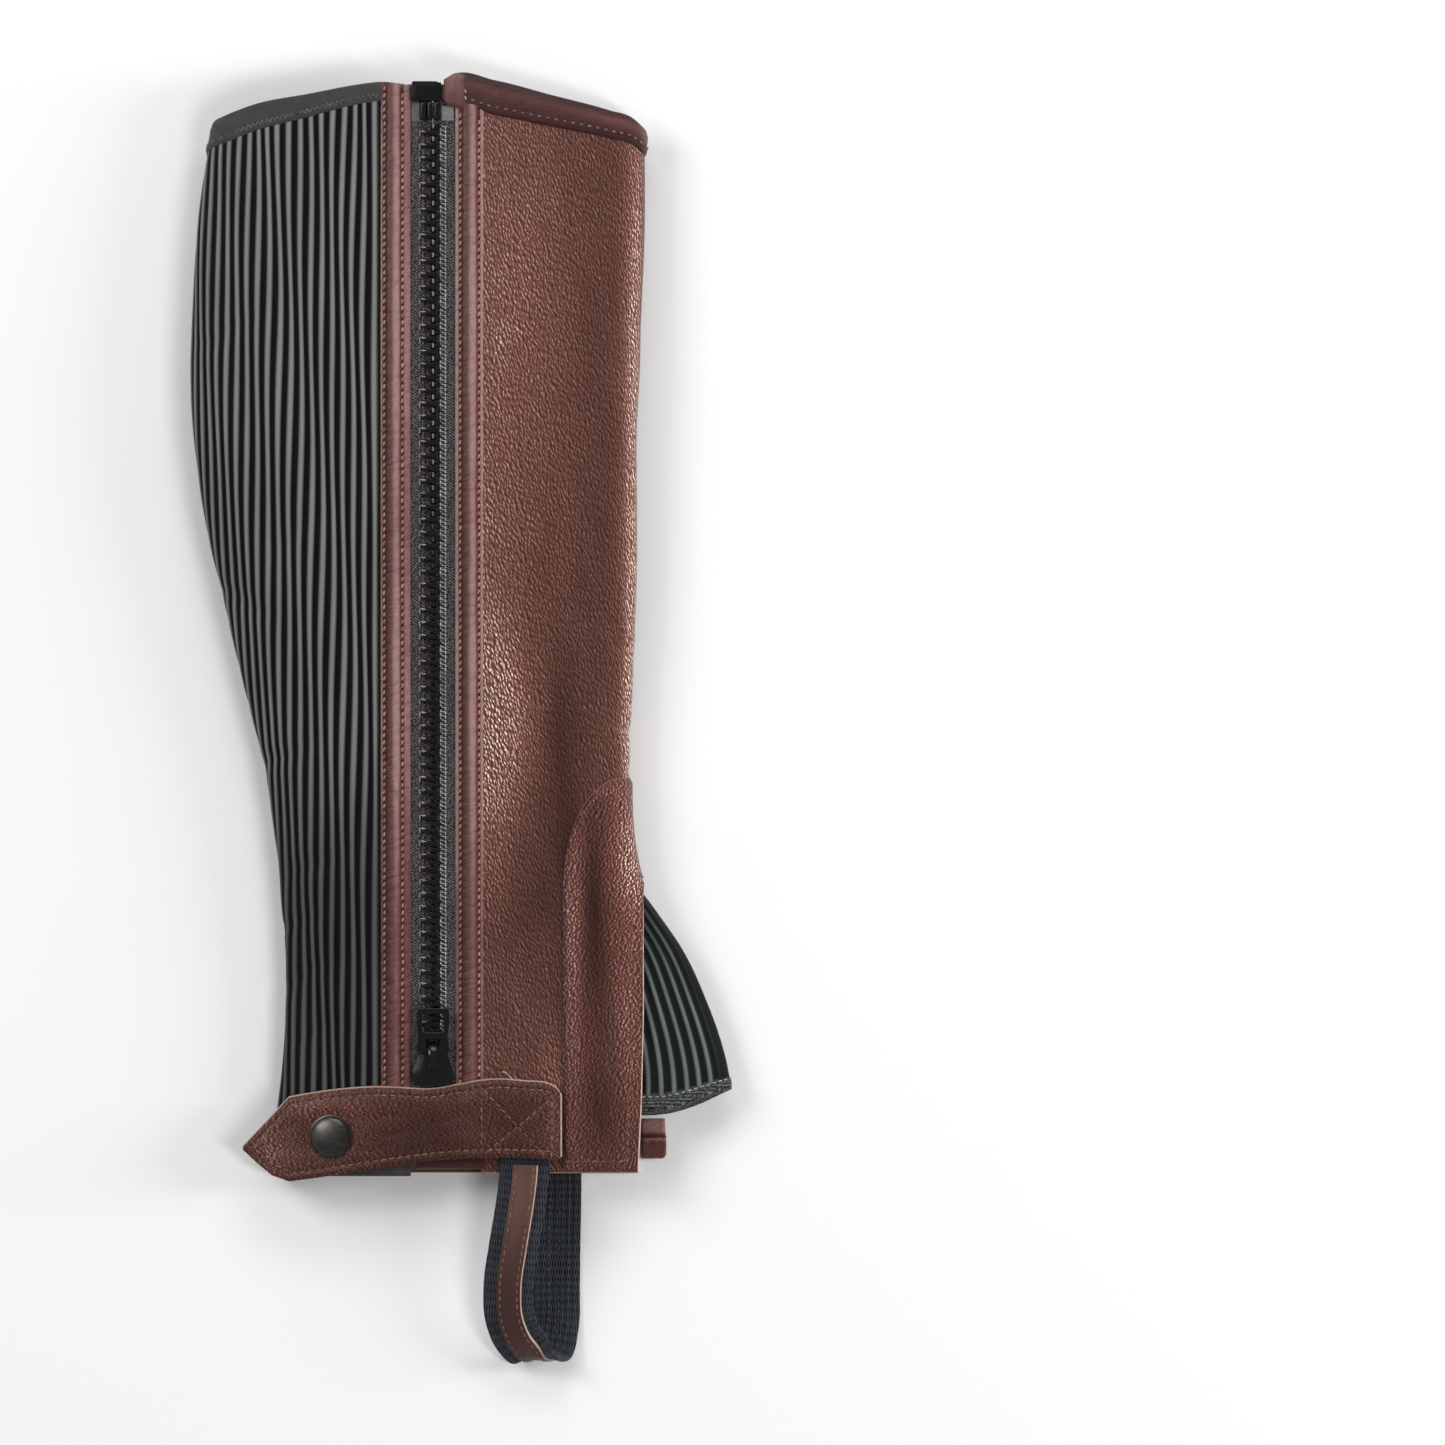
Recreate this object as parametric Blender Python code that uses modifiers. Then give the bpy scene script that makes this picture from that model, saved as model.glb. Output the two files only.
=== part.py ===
# Half chap: a zipped gaiter of leather and ribbed elastic for the lower leg.
# It lies zipped on its inner side, as a springy flattened tube, with the outer side up.
# All sizes below are in millimetres. Across runs from the zip's centre line, positive towards the shin.
# Height runs up the leg from the leather hem. Out is the distance outwards from the tube's surface.
import math
from functools import lru_cache

import bmesh
import bpy
import numpy as np
from mathutils import Matrix, Vector

MM = 0.001
GAP = 0.3

# The tube, one row for each section: height, calf fold, shin fold and loft (thickness of the flattened tube).
SECTION_COLUMNS = ("height", "calf_fold", "shin_fold", "loft")
SECTIONS = (
    (-15.0, -62.5, 118.5, 23.0),
    (15.0, -61.0, 118.5, 24.0),
    (40.0, -58.0, 116.0, 24.5),
    (66.0, -56.6, 107.6, 25.0),
    (86.0, -56.6, 98.4, 26.0),
    (101.0, -57.6, 88.0, 27.0),
    (111.0, -58.4, 80.8, 27.5),
    (124.0, -59.8, 77.3, 28.0),
    (155.0, -64.6, 75.6, 30.0),
    (186.0, -72.3, 76.8, 32.0),
    (216.0, -79.4, 78.1, 34.0),
    (247.0, -86.6, 78.5, 36.0),
    (278.0, -91.4, 78.2, 37.0),
    (309.0, -93.0, 79.6, 37.0),
    (340.0, -91.8, 80.5, 36.0),
    (370.0, -89.8, 81.5, 34.0),
    (393.0, -86.4, 81.3, 32.0),
    (425.0, -79.0, 80.6, 29.0),
)
FOLD_LEVEL = 0.42
FOLD_REACH = 0.55
CROWN_ACROSS = 0.62
CROWN_UP = 1.0
RING_STEPS = 90

# The top rim on the outer side, one row for each point: across and height.
RIM_COLUMNS = ("across", "height")
RIM = (
    (-92.0, 401.0),
    (-81.0, 406.4),
    (-70.0, 410.6),
    (-49.0, 414.7),
    (-22.0, 419.3),
    (3.0, 419.6),
    (8.0, 422.4),
    (24.0, 420.0),
    (46.0, 414.3),
    (68.0, 408.6),
    (77.0, 405.6),
    (82.0, 401.0),
)
INNER_RIM = 399.0
RIM_LEVEL = 405.0
RIM_EASE = (2.0, 0.52)

LEATHER = 1.6
ELASTIC = 1.4
RIB_PITCH = 4.1
RIB_RISE = 0.9
RIB_STEPS = 4
RIB_PROFILE = (0.0, 0.62, 1.0, 0.62)
FADE_LEVELS = (0.6, 5.0)

BAND_CALF = (-20.0, -8.6)
BAND_SHIN = (8.7, 19.4)
BAND_PUFF = (0.3, 1.0, 1.3, 1.0, 0.3)
TAPE_OUT = -0.7
TAPE_THICK = 1.0
CHAIN_HALF = 4.2
CHAIN_OUT = (-0.4, 1.4)
ZIP_FOOT = 9.3
ZIP_HEAD = 411.6

UNDER_SEAM_INSET = 25.0
UNDER_SEAM_GAP = 0.6
SEAM_CUT_ACROSS = 70.0
SEAM_CUT_HEIGHTS = (-20.0, 430.0)
SEAM_CUT_LEVELS = (-4.0, 6.0)
SEAM_CUT_POINTS = 37
ELASTIC_RIBS = 30
ELASTIC_BINDING = (7.6, 11.2)
ELASTIC_BINDING_WIDENS = (20.0, 85.0)
BINDING_OUT = 0.9
BINDING_IN = -2.4
BINDING_START = 4.2
BINDING_GAP = 0.5

# The elastic's top binding has a column at every second point of the ribs.
TOP_BINDING_STEPS = 2

HEM_BINDING = (-1.5, 6.0)
HEM_BINDING_COLUMNS = 24
HEM_PIECE = (1.4, 9.0)
HEM_PIECE_ACROSS = (-6.4, 19.4)

# The height of the leather binding along the rim, one row for each point: arc and wide.
TOP_BINDING_COLUMNS = ("arc", "wide")
TOP_BINDING = ((4.2, 10.2), (8.0, 12.8), (16.0, 13.4), (53.0, 11.9), (85.0, 10.6), (110.0, 10.6))

# The cut edge of the front slit, one row for each point: height and across.
SLIT_COLUMNS = ("height", "across")
SLIT = ((-12.0, 78.6), (0.0, 78.9), (28.0, 80.2), (62.0, 81.0), (98.0, 80.8), (113.0, 80.4))
SLIT_CUT_ACROSS = 150.0
SLIT_CUT_LEVELS = (-5.0, 45.0)

PATCH_START = 50.0
PATCH_SHOULDER = 109.0
PATCH_RISE = 42.3
PATCH_CORNER = 0.6
PATCH_CORNER_STEPS = 7
PATCH_SIDE_STEPS = 6
PATCH_OUT = (0.5, 1.7)
PATCH_SIDE_LEVEL = 5.0

# The leather panel's columns between the band and the patch, and under the shin fold.
LEATHER_FRONT_STEPS = 4
LEATHER_UNDER_STEPS = 9
LEATHER_UNDER_CROWD = 1.8

# The leather panel's rows: closer together below its waist than above.
LEATHER_WAIST = 0.38
LEATHER_LOW_ROWS = 21
LEATHER_HIGH_ROWS = 11

GUSSET_RIBS = 9
GUSSET_PITCH = (5.25, 3.9)
GUSSET_OUT = -2.9
GUSSET_TOP = 112.0
GUSSET_HEM = (21.9, 31.6)
GUSSET_BINDING = (8.6, 5.4)
GUSSET_EASE = 0.8
GUSSET_RISE = 0.8
GUSSET_BINDING_RISE = (0.7, 0.4)

TAB_ACROSS = (80.2, 89.7)
TAB_HEIGHT = (5.0, 20.4)
TAB_THICK = 2.8

# The closure strap, one row for each station: across, lower edge and upper edge.
STRAP_COLUMNS = ("across", "lower", "upper")
STRAP = (
    (-73.2, 8.6, 9.8),
    (-67.5, 3.3, 15.8),
    (-62.0, -1.2, 21.6),
    (-55.4, -3.5, 28.7),
    (-46.0, -2.3, 30.4),
    (-38.9, -1.2, 31.4),
    (-30.0, 0.2, 32.3),
    (-21.6, 1.5, 32.7),
    (-12.0, 2.9, 32.4),
    (-2.0, 4.2, 31.9),
    (9.6, 5.2, 33.6),
    (18.0, 5.6, 35.2),
    (26.0, 5.8, 35.7),
    (35.4, 5.6, 35.0),
    (45.0, 5.1, 33.8),
    (49.1, 4.7, 31.6),
)
STRAP_THICK = 2.8
STRAP_LIFT = 1.7
STRAP_BASE_LIFT = 1.5
STRAP_BASE = (8.0, 20.0)
STRAP_LEAVES = -48.0
STRAP_SLOPE = 0.16
STRAP_LEVEL_HEIGHT = 15.0

SNAP_AT = (-39.3, 13.9)
SNAP_RADIUS = 8.3
SNAP_RISE = 3.2
SNAP_RIM = 0.8
SNAP_GAP = 0.4

SLIDER_HEIGHT = (33.4, 52.6)
SLIDER_HALF = (7.9, 8.0, 5.7, 5.2)
SLIDER_SHOULDERS = (3.5, 11.0)
SLIDER_RISE = 3.4
SLIDER_SEAT = -0.1
CROWN_HALF = 1.9
CROWN_SPAN = (39.0, 50.6)
CROWN_RISE = 4.2
CROWN_ROOT = 1.0
CROWN_HOLE = (44.6, 48.9)
CROWN_HOLE_RISE = (0.3, 3.0)
PULL_AXIS = 46.8
PULL_RISE = 1.65
PULL_HALF = 6.3
PULL_TAIL = 0.85
PULL_LENGTH = 16.4
PULL_THICK = 1.7
PULL_SLOT_HALF = 2.6
PULL_SLOT = (0.85, 4.6)
PULL_WINDOW_HALF = 4.1
PULL_WINDOW = (7.2, 14.2)

BOX_ACROSS = (-8.2, 3.2)
BOX_HEIGHT = (412.0, 419.6)
BOX_OUT = (-0.4, 2.0)
SLEEVE_ACROSS = (-5.0, 2.8)
SLEEVE_HEIGHT = (404.4, 411.7)
SLEEVE_OUT = (-0.4, 1.5)

# The foot loop's centre line, one row for each station: across, height, level.
LOOP_COLUMNS = ("across", "height", "level")
LOOP = (
    (35.4, 12.0, 25.2),
    (35.2, 0.0, 25.1),
    (33.8, -12.0, 24.3),
    (31.2, -28.0, 22.6),
    (29.0, -44.0, 20.0),
    (29.6, -56.0, 16.8),
    (33.5, -65.0, 13.0),
    (39.5, -70.0, 8.6),
    (44.0, -68.5, 4.7),
    (46.3, -60.0, 2.0),
    (46.8, -44.0, 1.2),
    (47.0, -28.0, 1.2),
    (47.3, -14.0, 1.2),
    (47.4, -7.0, 1.9),
    (47.4, -1.5, 3.2),
    (47.4, 12.0, 3.2),
)
LOOP_HALF = 9.6
LOOP_THICK = 2.0
LOOP_CLEAR = 0.2
STRIP_HALF = 4.6
STRIP_GAP = 0.4
STRIP_THICK = 1.3
STRIP_ENDS = (0.05, 0.55)
LOOP_STEPS = 40

COLOURS = {
    "pebbled_leather": ((0.105, 0.042, 0.028), 0.42, 0.0),
    "smooth_leather": ((0.200, 0.088, 0.074), 0.38, 0.0),
    "binding_leather": ((0.085, 0.028, 0.024), 0.40, 0.0),
    "elastic": ((0.016, 0.018, 0.019), 0.70, 0.0),
    "black_braid": ((0.026, 0.027, 0.026), 0.80, 0.0),
    "zip_tape": ((0.040, 0.042, 0.038), 0.85, 0.0),
    "moulded_black": ((0.008, 0.008, 0.009), 0.25, 0.0),
    "gunmetal": ((0.110, 0.110, 0.105), 0.32, 1.0),
}

for old in list(bpy.data.objects):
    bpy.data.objects.remove(old, do_unlink=True)

chap = bpy.data.collections.new("half_chap")
cutters = bpy.data.collections.new("half_chap_cutters")
for group in (chap, cutters):
    bpy.context.scene.collection.children.link(group)


def material(name):
    """One Principled material for each kind of stuff."""
    made = bpy.data.materials.get(name)
    if made is None:
        colour, roughness, metallic = COLOURS[name]
        made = bpy.data.materials.new(name)
        made.use_nodes = True
        shader = made.node_tree.nodes["Principled BSDF"]
        shader.inputs["Base Color"].default_value = (*colour, 1.0)
        shader.inputs["Roughness"].default_value = roughness
        shader.inputs["Metallic"].default_value = metallic
    return made


def column(table, columns, name):
    """One named column of a table, as an array."""
    return np.array([row[columns.index(name)] for row in table])


def smooth_read(places, values, at):
    """A smooth curve through the table's points, read at one place."""
    slopes = np.gradient(values, places)
    index = int(np.clip(np.searchsorted(places, at) - 1, 0, len(places) - 2))
    span = places[index + 1] - places[index]
    part = min(max((at - places[index]) / span, 0.0), 1.0)
    keep = (1 + 2 * part) * (1 - part) ** 2 * values[index]
    rise = part * (1 - part) ** 2 * span * slopes[index]
    reach = part * part * (3 - 2 * part) * values[index + 1]
    land = part * part * (part - 1) * span * slopes[index + 1]
    return float(keep + rise + reach + land)


def section(name, height):
    places = column(SECTIONS, SECTION_COLUMNS, "height")
    return smooth_read(places, column(SECTIONS, SECTION_COLUMNS, name), height)


def ease(value, low, high):
    """Rises softly from 0 at low to 1 at high."""
    part = min(max((value - low) / (high - low), 0.0), 1.0)
    return part * part * (3 - 2 * part)


@lru_cache(maxsize=None)
def ring(height):
    """The tube's section at one height: arc length from the zip line, across and level, calf side first."""
    calf = section("calf_fold", height)
    shin = section("shin_fold", height)
    loft = section("loft", height)
    middle = (calf + shin) / 2
    half = (shin - calf) / 2
    fold = FOLD_LEVEL * loft
    reach = FOLD_REACH * loft
    flat = np.linspace(shin - reach, calf + reach, RING_STEPS)
    turn = np.linspace(0, math.pi / 2, RING_STEPS)[1:]
    under = np.stack([calf + reach - reach * np.sin(turn), fold - fold * np.cos(turn)], 1)
    over = np.linspace(math.pi, math.pi / 2, RING_STEPS)[1:]
    crown = np.stack([
        middle - half * np.abs(np.cos(over)) ** CROWN_ACROSS,
        fold + (loft - fold) * np.sin(over) ** CROWN_UP,
    ], 1)
    left = np.concatenate([np.stack([flat, 0 * flat], 1), under, crown])
    right = left[::-1][1:] * (-1, 1) + (2 * middle, 0)
    line = np.concatenate([left, right])
    steps = np.hypot(*np.diff(line, axis=0).T)
    arc = np.concatenate([[0], np.cumsum(steps)])
    top = slice(len(flat) + len(under), len(line) - len(flat) - len(under))
    arc = arc - np.interp(0.0, line[top, 0], arc[top])
    return arc, line[:, 0], line[:, 1]


def surface(arc, height, out=0.0):
    """A point on the tube, moved out along the section's normal."""
    arcs, across, level = ring(round(height, 3))
    step = 0.5
    x, z = np.interp(arc, arcs, across), np.interp(arc, arcs, level)
    ahead = np.array([np.interp(arc + step, arcs, across), np.interp(arc + step, arcs, level)])
    behind = np.array([np.interp(arc - step, arcs, across), np.interp(arc - step, arcs, level)])
    run = ahead - behind
    run = run / np.hypot(*run)
    return np.array([x - out * run[1], height, z + out * run[0]])


def top_level(across, height):
    """Level of the tube's upper side over one place."""
    arcs, xs, zs = ring(round(height, 3))
    upper = slice(2 * RING_STEPS - 1, len(xs) - 2 * RING_STEPS + 1)
    return float(np.interp(across, xs[upper], zs[upper]))


def under_arc(across, height, side):
    """Arc length at a place on the flat underside, on the calf side (-1) or round the shin (1)."""
    arcs, xs, zs = ring(round(height, 3))
    if side < 0:
        return float(np.interp(-across, -xs[:RING_STEPS], arcs[:RING_STEPS]))
    return float(np.interp(-across, -xs[-RING_STEPS:], arcs[-RING_STEPS:]))


def under_seam(height):
    """Across position of the seam between elastic and leather on the underside."""
    return section("calf_fold", height) + FOLD_REACH * section("loft", height) + UNDER_SEAM_INSET


def rim(arc):
    """Height of the top rim over one arc length."""
    x, _, z = surface(arc, RIM_LEVEL)
    outer = smooth_read(column(RIM, RIM_COLUMNS, "across"), column(RIM, RIM_COLUMNS, "height"), x)
    share = ease(z, RIM_EASE[0], RIM_EASE[1] * section("loft", RIM_LEVEL))
    return INNER_RIM + (outer - INNER_RIM) * share


def under_top_binding(arc):
    """Height of the leather binding's lower edge over one arc length."""
    arcs = column(TOP_BINDING, TOP_BINDING_COLUMNS, "arc")
    return rim(arc) - smooth_read(arcs, column(TOP_BINDING, TOP_BINDING_COLUMNS, "wide"), arc)


def slit(height):
    places = column(SLIT, SLIT_COLUMNS, "height")
    return smooth_read(places, column(SLIT, SLIT_COLUMNS, "across"), height)


def wall(name, outer, inner, stuff):
    """A closed wall between two grids of points. The outer grid may have a whole multiple of columns."""
    rows, wide = outer.shape[:2]
    narrow = inner.shape[1]
    share = (wide - 1) // (narrow - 1)
    points = np.concatenate([outer.reshape(-1, 3), inner.reshape(-1, 3)]) * MM
    first = rows * wide
    faces = []
    for row in range(rows - 1):
        for col in range(wide - 1):
            at = row * wide + col
            faces.append((at, at + 1, at + wide + 1, at + wide))
        for col in range(narrow - 1):
            at = first + row * narrow + col
            faces.append((at, at + narrow, at + narrow + 1, at + 1))
        for outer_col, inner_col in ((0, 0), (wide - 1, narrow - 1)):
            a, b = row * wide + outer_col, first + row * narrow + inner_col
            faces.append((a, a + wide, b + narrow, b))
    for row in (0, rows - 1):
        for col in range(narrow - 1):
            edge = [row * wide + col * share + step for step in range(share + 1)]
            back = [first + row * narrow + col + 1, first + row * narrow + col]
            faces.append(tuple(edge + back))
    return add_mesh(name, points, faces, stuff)


def add_mesh(name, points, faces, stuff, group=None):
    mesh = bpy.data.meshes.new(name)
    mesh.from_pydata([tuple(point) for point in points], [], faces)
    shape = bmesh.new()
    shape.from_mesh(mesh)
    bmesh.ops.recalc_face_normals(shape, faces=shape.faces)
    shape.to_mesh(mesh)
    shape.free()
    made = bpy.data.objects.new(name, mesh)
    if stuff:
        mesh.materials.append(material(stuff))
        mesh.shade_smooth()
        mesh.set_sharp_from_angle(angle=math.radians(40))
    (group or chap).objects.link(made)
    return made


def grid(fractions, rises, arc_of, low_of, high_of, out_of):
    """Points over a patch of the tube: fractions run across, rises run up between its low and high edges."""
    points = np.empty((len(rises), len(fractions), 3))
    for col, fraction in enumerate(fractions):
        low, high = low_of(fraction), high_of(fraction)
        for row, rise in enumerate(rises):
            height = low + (high - low) * rise
            points[row, col] = surface(arc_of(fraction, height), height, out_of(fraction, height))
    return points


def panel(name, stuff, columns, rows, arc_of, low_of, high_of, out_of, thick):
    """A wall that follows the tube, with its inner face a constant distance inside."""
    fractions = columns if np.ndim(columns) else np.linspace(0, 1, columns)
    rises = np.linspace(0, 1, rows)
    outer = grid(fractions, rises, arc_of, low_of, high_of, out_of)
    inner = grid(fractions, rises, arc_of, low_of, high_of, lambda fraction, height: thick)
    return wall(name, outer, inner, stuff)


def proud(arc_of, amount):
    """A distance outwards that fades round the folds, so that the underside stays flat."""
    def out_of(fraction, height):
        return amount * ease(surface(arc_of(fraction, height), height)[2], *FADE_LEVELS)

    return out_of


def between(start, end):
    """Arc length at a fraction between two fixed arc lengths."""
    return lambda fraction, height: start + (end - start) * fraction


def prism(name, outline, low, high, stuff=None, group=None):
    """An outline of across and height, extruded between two levels."""
    count = len(outline)
    points = [(x, y, z) for z in (low, high) for x, y in outline]
    faces = [tuple(range(count)), tuple(range(count, 2 * count))]
    faces += [(k, (k + 1) % count, count + (k + 1) % count, count + k) for k in range(count)]
    return add_mesh(name, np.array(points) * MM, faces, stuff, group)


def as_cutter(made):
    made.hide_render = True
    made.display_type = "WIRE"
    return made


def boolean(made, tool, operation):
    change = made.modifiers.new(operation.lower() + "_" + tool.name, "BOOLEAN")
    change.object = tool
    change.operation = operation
    change.solver = "EXACT"


def bevel(made, width, segments):
    change = made.modifiers.new("edge", "BEVEL")
    change.width = width * MM
    change.segments = segments
    change.limit_method = "ANGLE"
    change.angle_limit = math.radians(40)


def box(name, across, height, level, stuff, group=None):
    """A box primitive between pairs of across, height and level, with its size in the mesh."""
    mesh = bpy.data.meshes.new(name)
    shape = bmesh.new()
    bmesh.ops.create_cube(shape, size=1.0)
    size = [pair[1] - pair[0] for pair in (across, height, level)]
    middle = [(pair[0] + pair[1]) / 2 for pair in (across, height, level)]
    bmesh.ops.scale(shape, vec=Vector(size) * MM, verts=shape.verts)
    bmesh.ops.translate(shape, vec=Vector(middle) * MM, verts=shape.verts)
    shape.to_mesh(mesh)
    shape.free()
    made = bpy.data.objects.new(name, mesh)
    if stuff:
        mesh.materials.append(material(stuff))
    (group or chap).objects.link(made)
    return made


def patch_fractions():
    """Columns of the patch: close together at its round corner, then even round the shin fold."""
    corner = PATCH_CORNER * (1 - np.cos(np.linspace(0, math.pi / 2, PATCH_CORNER_STEPS + 1)))
    return np.concatenate([corner, np.linspace(PATCH_CORNER, 1, PATCH_SIDE_STEPS + 1)[1:]])


def patch_arc(fraction, height):
    arcs, xs, zs = ring(round(height, 3))
    side = slice(len(xs) - 2 * RING_STEPS, len(xs) - RING_STEPS)
    end = float(np.interp(-PATCH_SIDE_LEVEL, -zs[side], arcs[side]))
    return PATCH_START + (end - PATCH_START) * fraction


def leather_columns(start, steps):
    """Arc lengths round the shin: from a start to the patch, with the patch's columns, then to the seam."""
    front = np.linspace(start, PATCH_START, steps + 1)[:-1]
    middle = patch_fractions()
    under = np.linspace(0, 1, LEATHER_UNDER_STEPS + 1)[1:] ** LEATHER_UNDER_CROWD

    def arc_of(index, height):
        if index < len(front):
            return front[index]
        if index < len(front) + len(middle):
            return patch_arc(middle[index - len(front)], height)
        share = under[index - len(front) - len(middle)]
        return patch_arc(1.0, height) * (1 - share) + under_arc(under_seam(height), height, 1) * share

    return np.arange(len(front) + len(middle) + len(under)), arc_of


def make_leather_panel():
    """Pebbled leather from the shin-side band over the shin to the seam on the underside."""
    columns, arc_of = leather_columns(BAND_SHIN[1] + GAP, LEATHER_FRONT_STEPS)

    def high_of(index):
        return under_top_binding(arc_of(index, RIM_LEVEL)) - BINDING_GAP

    low_rows = np.linspace(0, LEATHER_WAIST, LEATHER_LOW_ROWS)
    high_rows = np.linspace(LEATHER_WAIST, 1, LEATHER_HIGH_ROWS)
    rises = np.concatenate([low_rows, high_rows[1:]])
    outer = grid(columns, rises, arc_of, lambda k: 0.0, high_of, lambda k, h: 0.0)
    inner = grid(columns, rises, arc_of, lambda k: 0.0, high_of, lambda k, h: -LEATHER)
    made = wall("leather_panel", outer, inner, "pebbled_leather")
    boolean(made, slit_cutter, "DIFFERENCE")


def make_lower_patch():
    """The second layer of leather on the lower front. Its upper corner is a quarter of an ellipse."""
    def high_of(fraction):
        run = 1 - min(fraction / PATCH_CORNER, 1.0)
        return PATCH_SHOULDER + PATCH_RISE * math.sqrt(1 - run * run)

    made = panel("lower_patch", "pebbled_leather", patch_fractions(), 18, patch_arc, lambda f: 0.0, high_of,
                 lambda f, h: PATCH_OUT[1], PATCH_OUT[0])
    boolean(made, slit_cutter, "DIFFERENCE")


def make_elastic_panel():
    """Ribbed elastic over the calf. The ribs keep their pitch and run parallel to the zip."""
    start = BAND_CALF[0] - GAP
    end = start - ELASTIC_RIBS * RIB_PITCH
    steps = np.arange(ELASTIC_RIBS * RIB_STEPS + 1)
    fractions = steps / steps[-1]
    rises = np.linspace(0, 1, 16)
    arc_of = between(start, end)

    def binding_of(fraction):
        share = ease(-arc_of(fraction, 0), *ELASTIC_BINDING_WIDENS)
        return ELASTIC_BINDING[1] + (ELASTIC_BINDING[0] - ELASTIC_BINDING[1]) * share

    def low_of(fraction):
        return HEM_BINDING[1] + GAP

    def high_of(fraction):
        return rim(arc_of(fraction, RIM_LEVEL)) - binding_of(fraction) - BINDING_GAP

    raised = proud(arc_of, RIB_RISE)

    def out_of(fraction, height):
        rib = RIB_PROFILE[int(round(fraction * steps[-1])) % RIB_STEPS]
        return raised(fraction, height) * (rib - 0.5)

    outer = grid(fractions, rises, arc_of, low_of, high_of, out_of)
    inner = grid(fractions[::RIB_STEPS], rises, arc_of, low_of, high_of,
                 lambda f, h: -ELASTIC - RIB_RISE * 0.5)
    made = wall("elastic_panel", outer, inner, "elastic")
    boolean(made, seam_cutter, "DIFFERENCE")

    made = panel("top_binding_elastic", "black_braid", fractions[::TOP_BINDING_STEPS], 4, arc_of,
                 lambda f: high_of(f) + BINDING_GAP, lambda f: rim(arc_of(f, RIM_LEVEL)),
                 proud(arc_of, BINDING_OUT), BINDING_IN)
    boolean(made, seam_cutter, "DIFFERENCE")
    arc_of = between(BAND_CALF[1], end)
    made = panel("hem_binding_elastic", "black_braid", np.linspace(0, 1, HEM_BINDING_COLUMNS), 3, arc_of,
                 lambda f: HEM_BINDING[0], lambda f: HEM_BINDING[1], proud(arc_of, BINDING_OUT), BINDING_IN)
    boolean(made, seam_cutter, "DIFFERENCE")


def make_zip_bands():
    """Smooth leather strips on both sides of the zip, puffed between their rows of stitching."""
    for name, (start, end), foot in (("zip_band_calf", BAND_CALF, HEM_BINDING[1] + GAP),
                                     ("zip_band_shin", BAND_SHIN, ZIP_FOOT)):
        arc_of = between(start, end)

        def out_of(fraction, height):
            return BAND_PUFF[int(round(fraction * (len(BAND_PUFF) - 1)))]

        def high_of(fraction, start=start, end=end):
            arc = start + (end - start) * fraction
            return rim(arc) if end < 0 else under_top_binding(arc) - BINDING_GAP

        panel(name, "smooth_leather", len(BAND_PUFF), 17, arc_of, lambda f, foot=foot: foot, high_of,
              out_of, -LEATHER)


def make_zip():
    """Two tapes that meet under the chain, the chain's bar, and the box with its sleeves at the top."""
    for name, start, end in (("zip_tape_calf", BAND_CALF[1] + GAP, -GAP / 2),
                             ("zip_tape_shin", GAP / 2, BAND_SHIN[0] - GAP)):
        arc_of = between(start, end)

        def high_of(fraction, arc_of=arc_of):
            return min(ZIP_HEAD - GAP, under_top_binding(arc_of(fraction, RIM_LEVEL)) - BINDING_GAP)

        panel(name, "zip_tape", 3, 17, arc_of, lambda f: ZIP_FOOT, high_of,
              lambda f, h: TAPE_OUT, TAPE_OUT - TAPE_THICK)
    panel("zip_chain", "moulded_black", 4, 17, between(-CHAIN_HALF, CHAIN_HALF),
          lambda f: SLIDER_HEIGHT[1] + GAP, lambda f: SLEEVE_HEIGHT[0] - GAP,
          lambda f, h: CHAIN_OUT[1], CHAIN_OUT[0])
    for name, across, height, out in (("zip_box", BOX_ACROSS, BOX_HEIGHT, BOX_OUT),
                                      ("zip_sleeves", SLEEVE_ACROSS, SLEEVE_HEIGHT, SLEEVE_OUT)):
        level = top_level(0.0, height[0])
        made = box(name, across, height, (level + out[0], level + out[1]), "moulded_black")
        bevel(made, 0.4, 2)


def make_top_binding():
    """Leather folded over the top edge, from the zip over the shin to the seam on the underside."""
    columns, arc_of = leather_columns(BINDING_START, 2 * LEATHER_FRONT_STEPS)

    panel("top_binding_leather", "binding_leather", columns, 4, arc_of,
          lambda k: under_top_binding(arc_of(k, RIM_LEVEL)), lambda k: rim(arc_of(k, RIM_LEVEL)),
          proud(arc_of, BINDING_OUT), BINDING_IN)


def make_hem_piece():
    """The leather piece that closes the hem at the zip's end, mostly under the strap."""
    panel("hem_piece_leather", "smooth_leather", 6, 3, between(*HEM_PIECE_ACROSS), lambda f: HEM_PIECE[0],
          lambda f: HEM_PIECE[1], lambda f, h: BINDING_OUT, -LEATHER)


def fold_arc(height):
    """Arc length at the shin fold, where the tube is widest."""
    arcs, xs, _ = ring(round(height, 3))
    return float(arcs[int(np.argmax(xs))])


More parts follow.
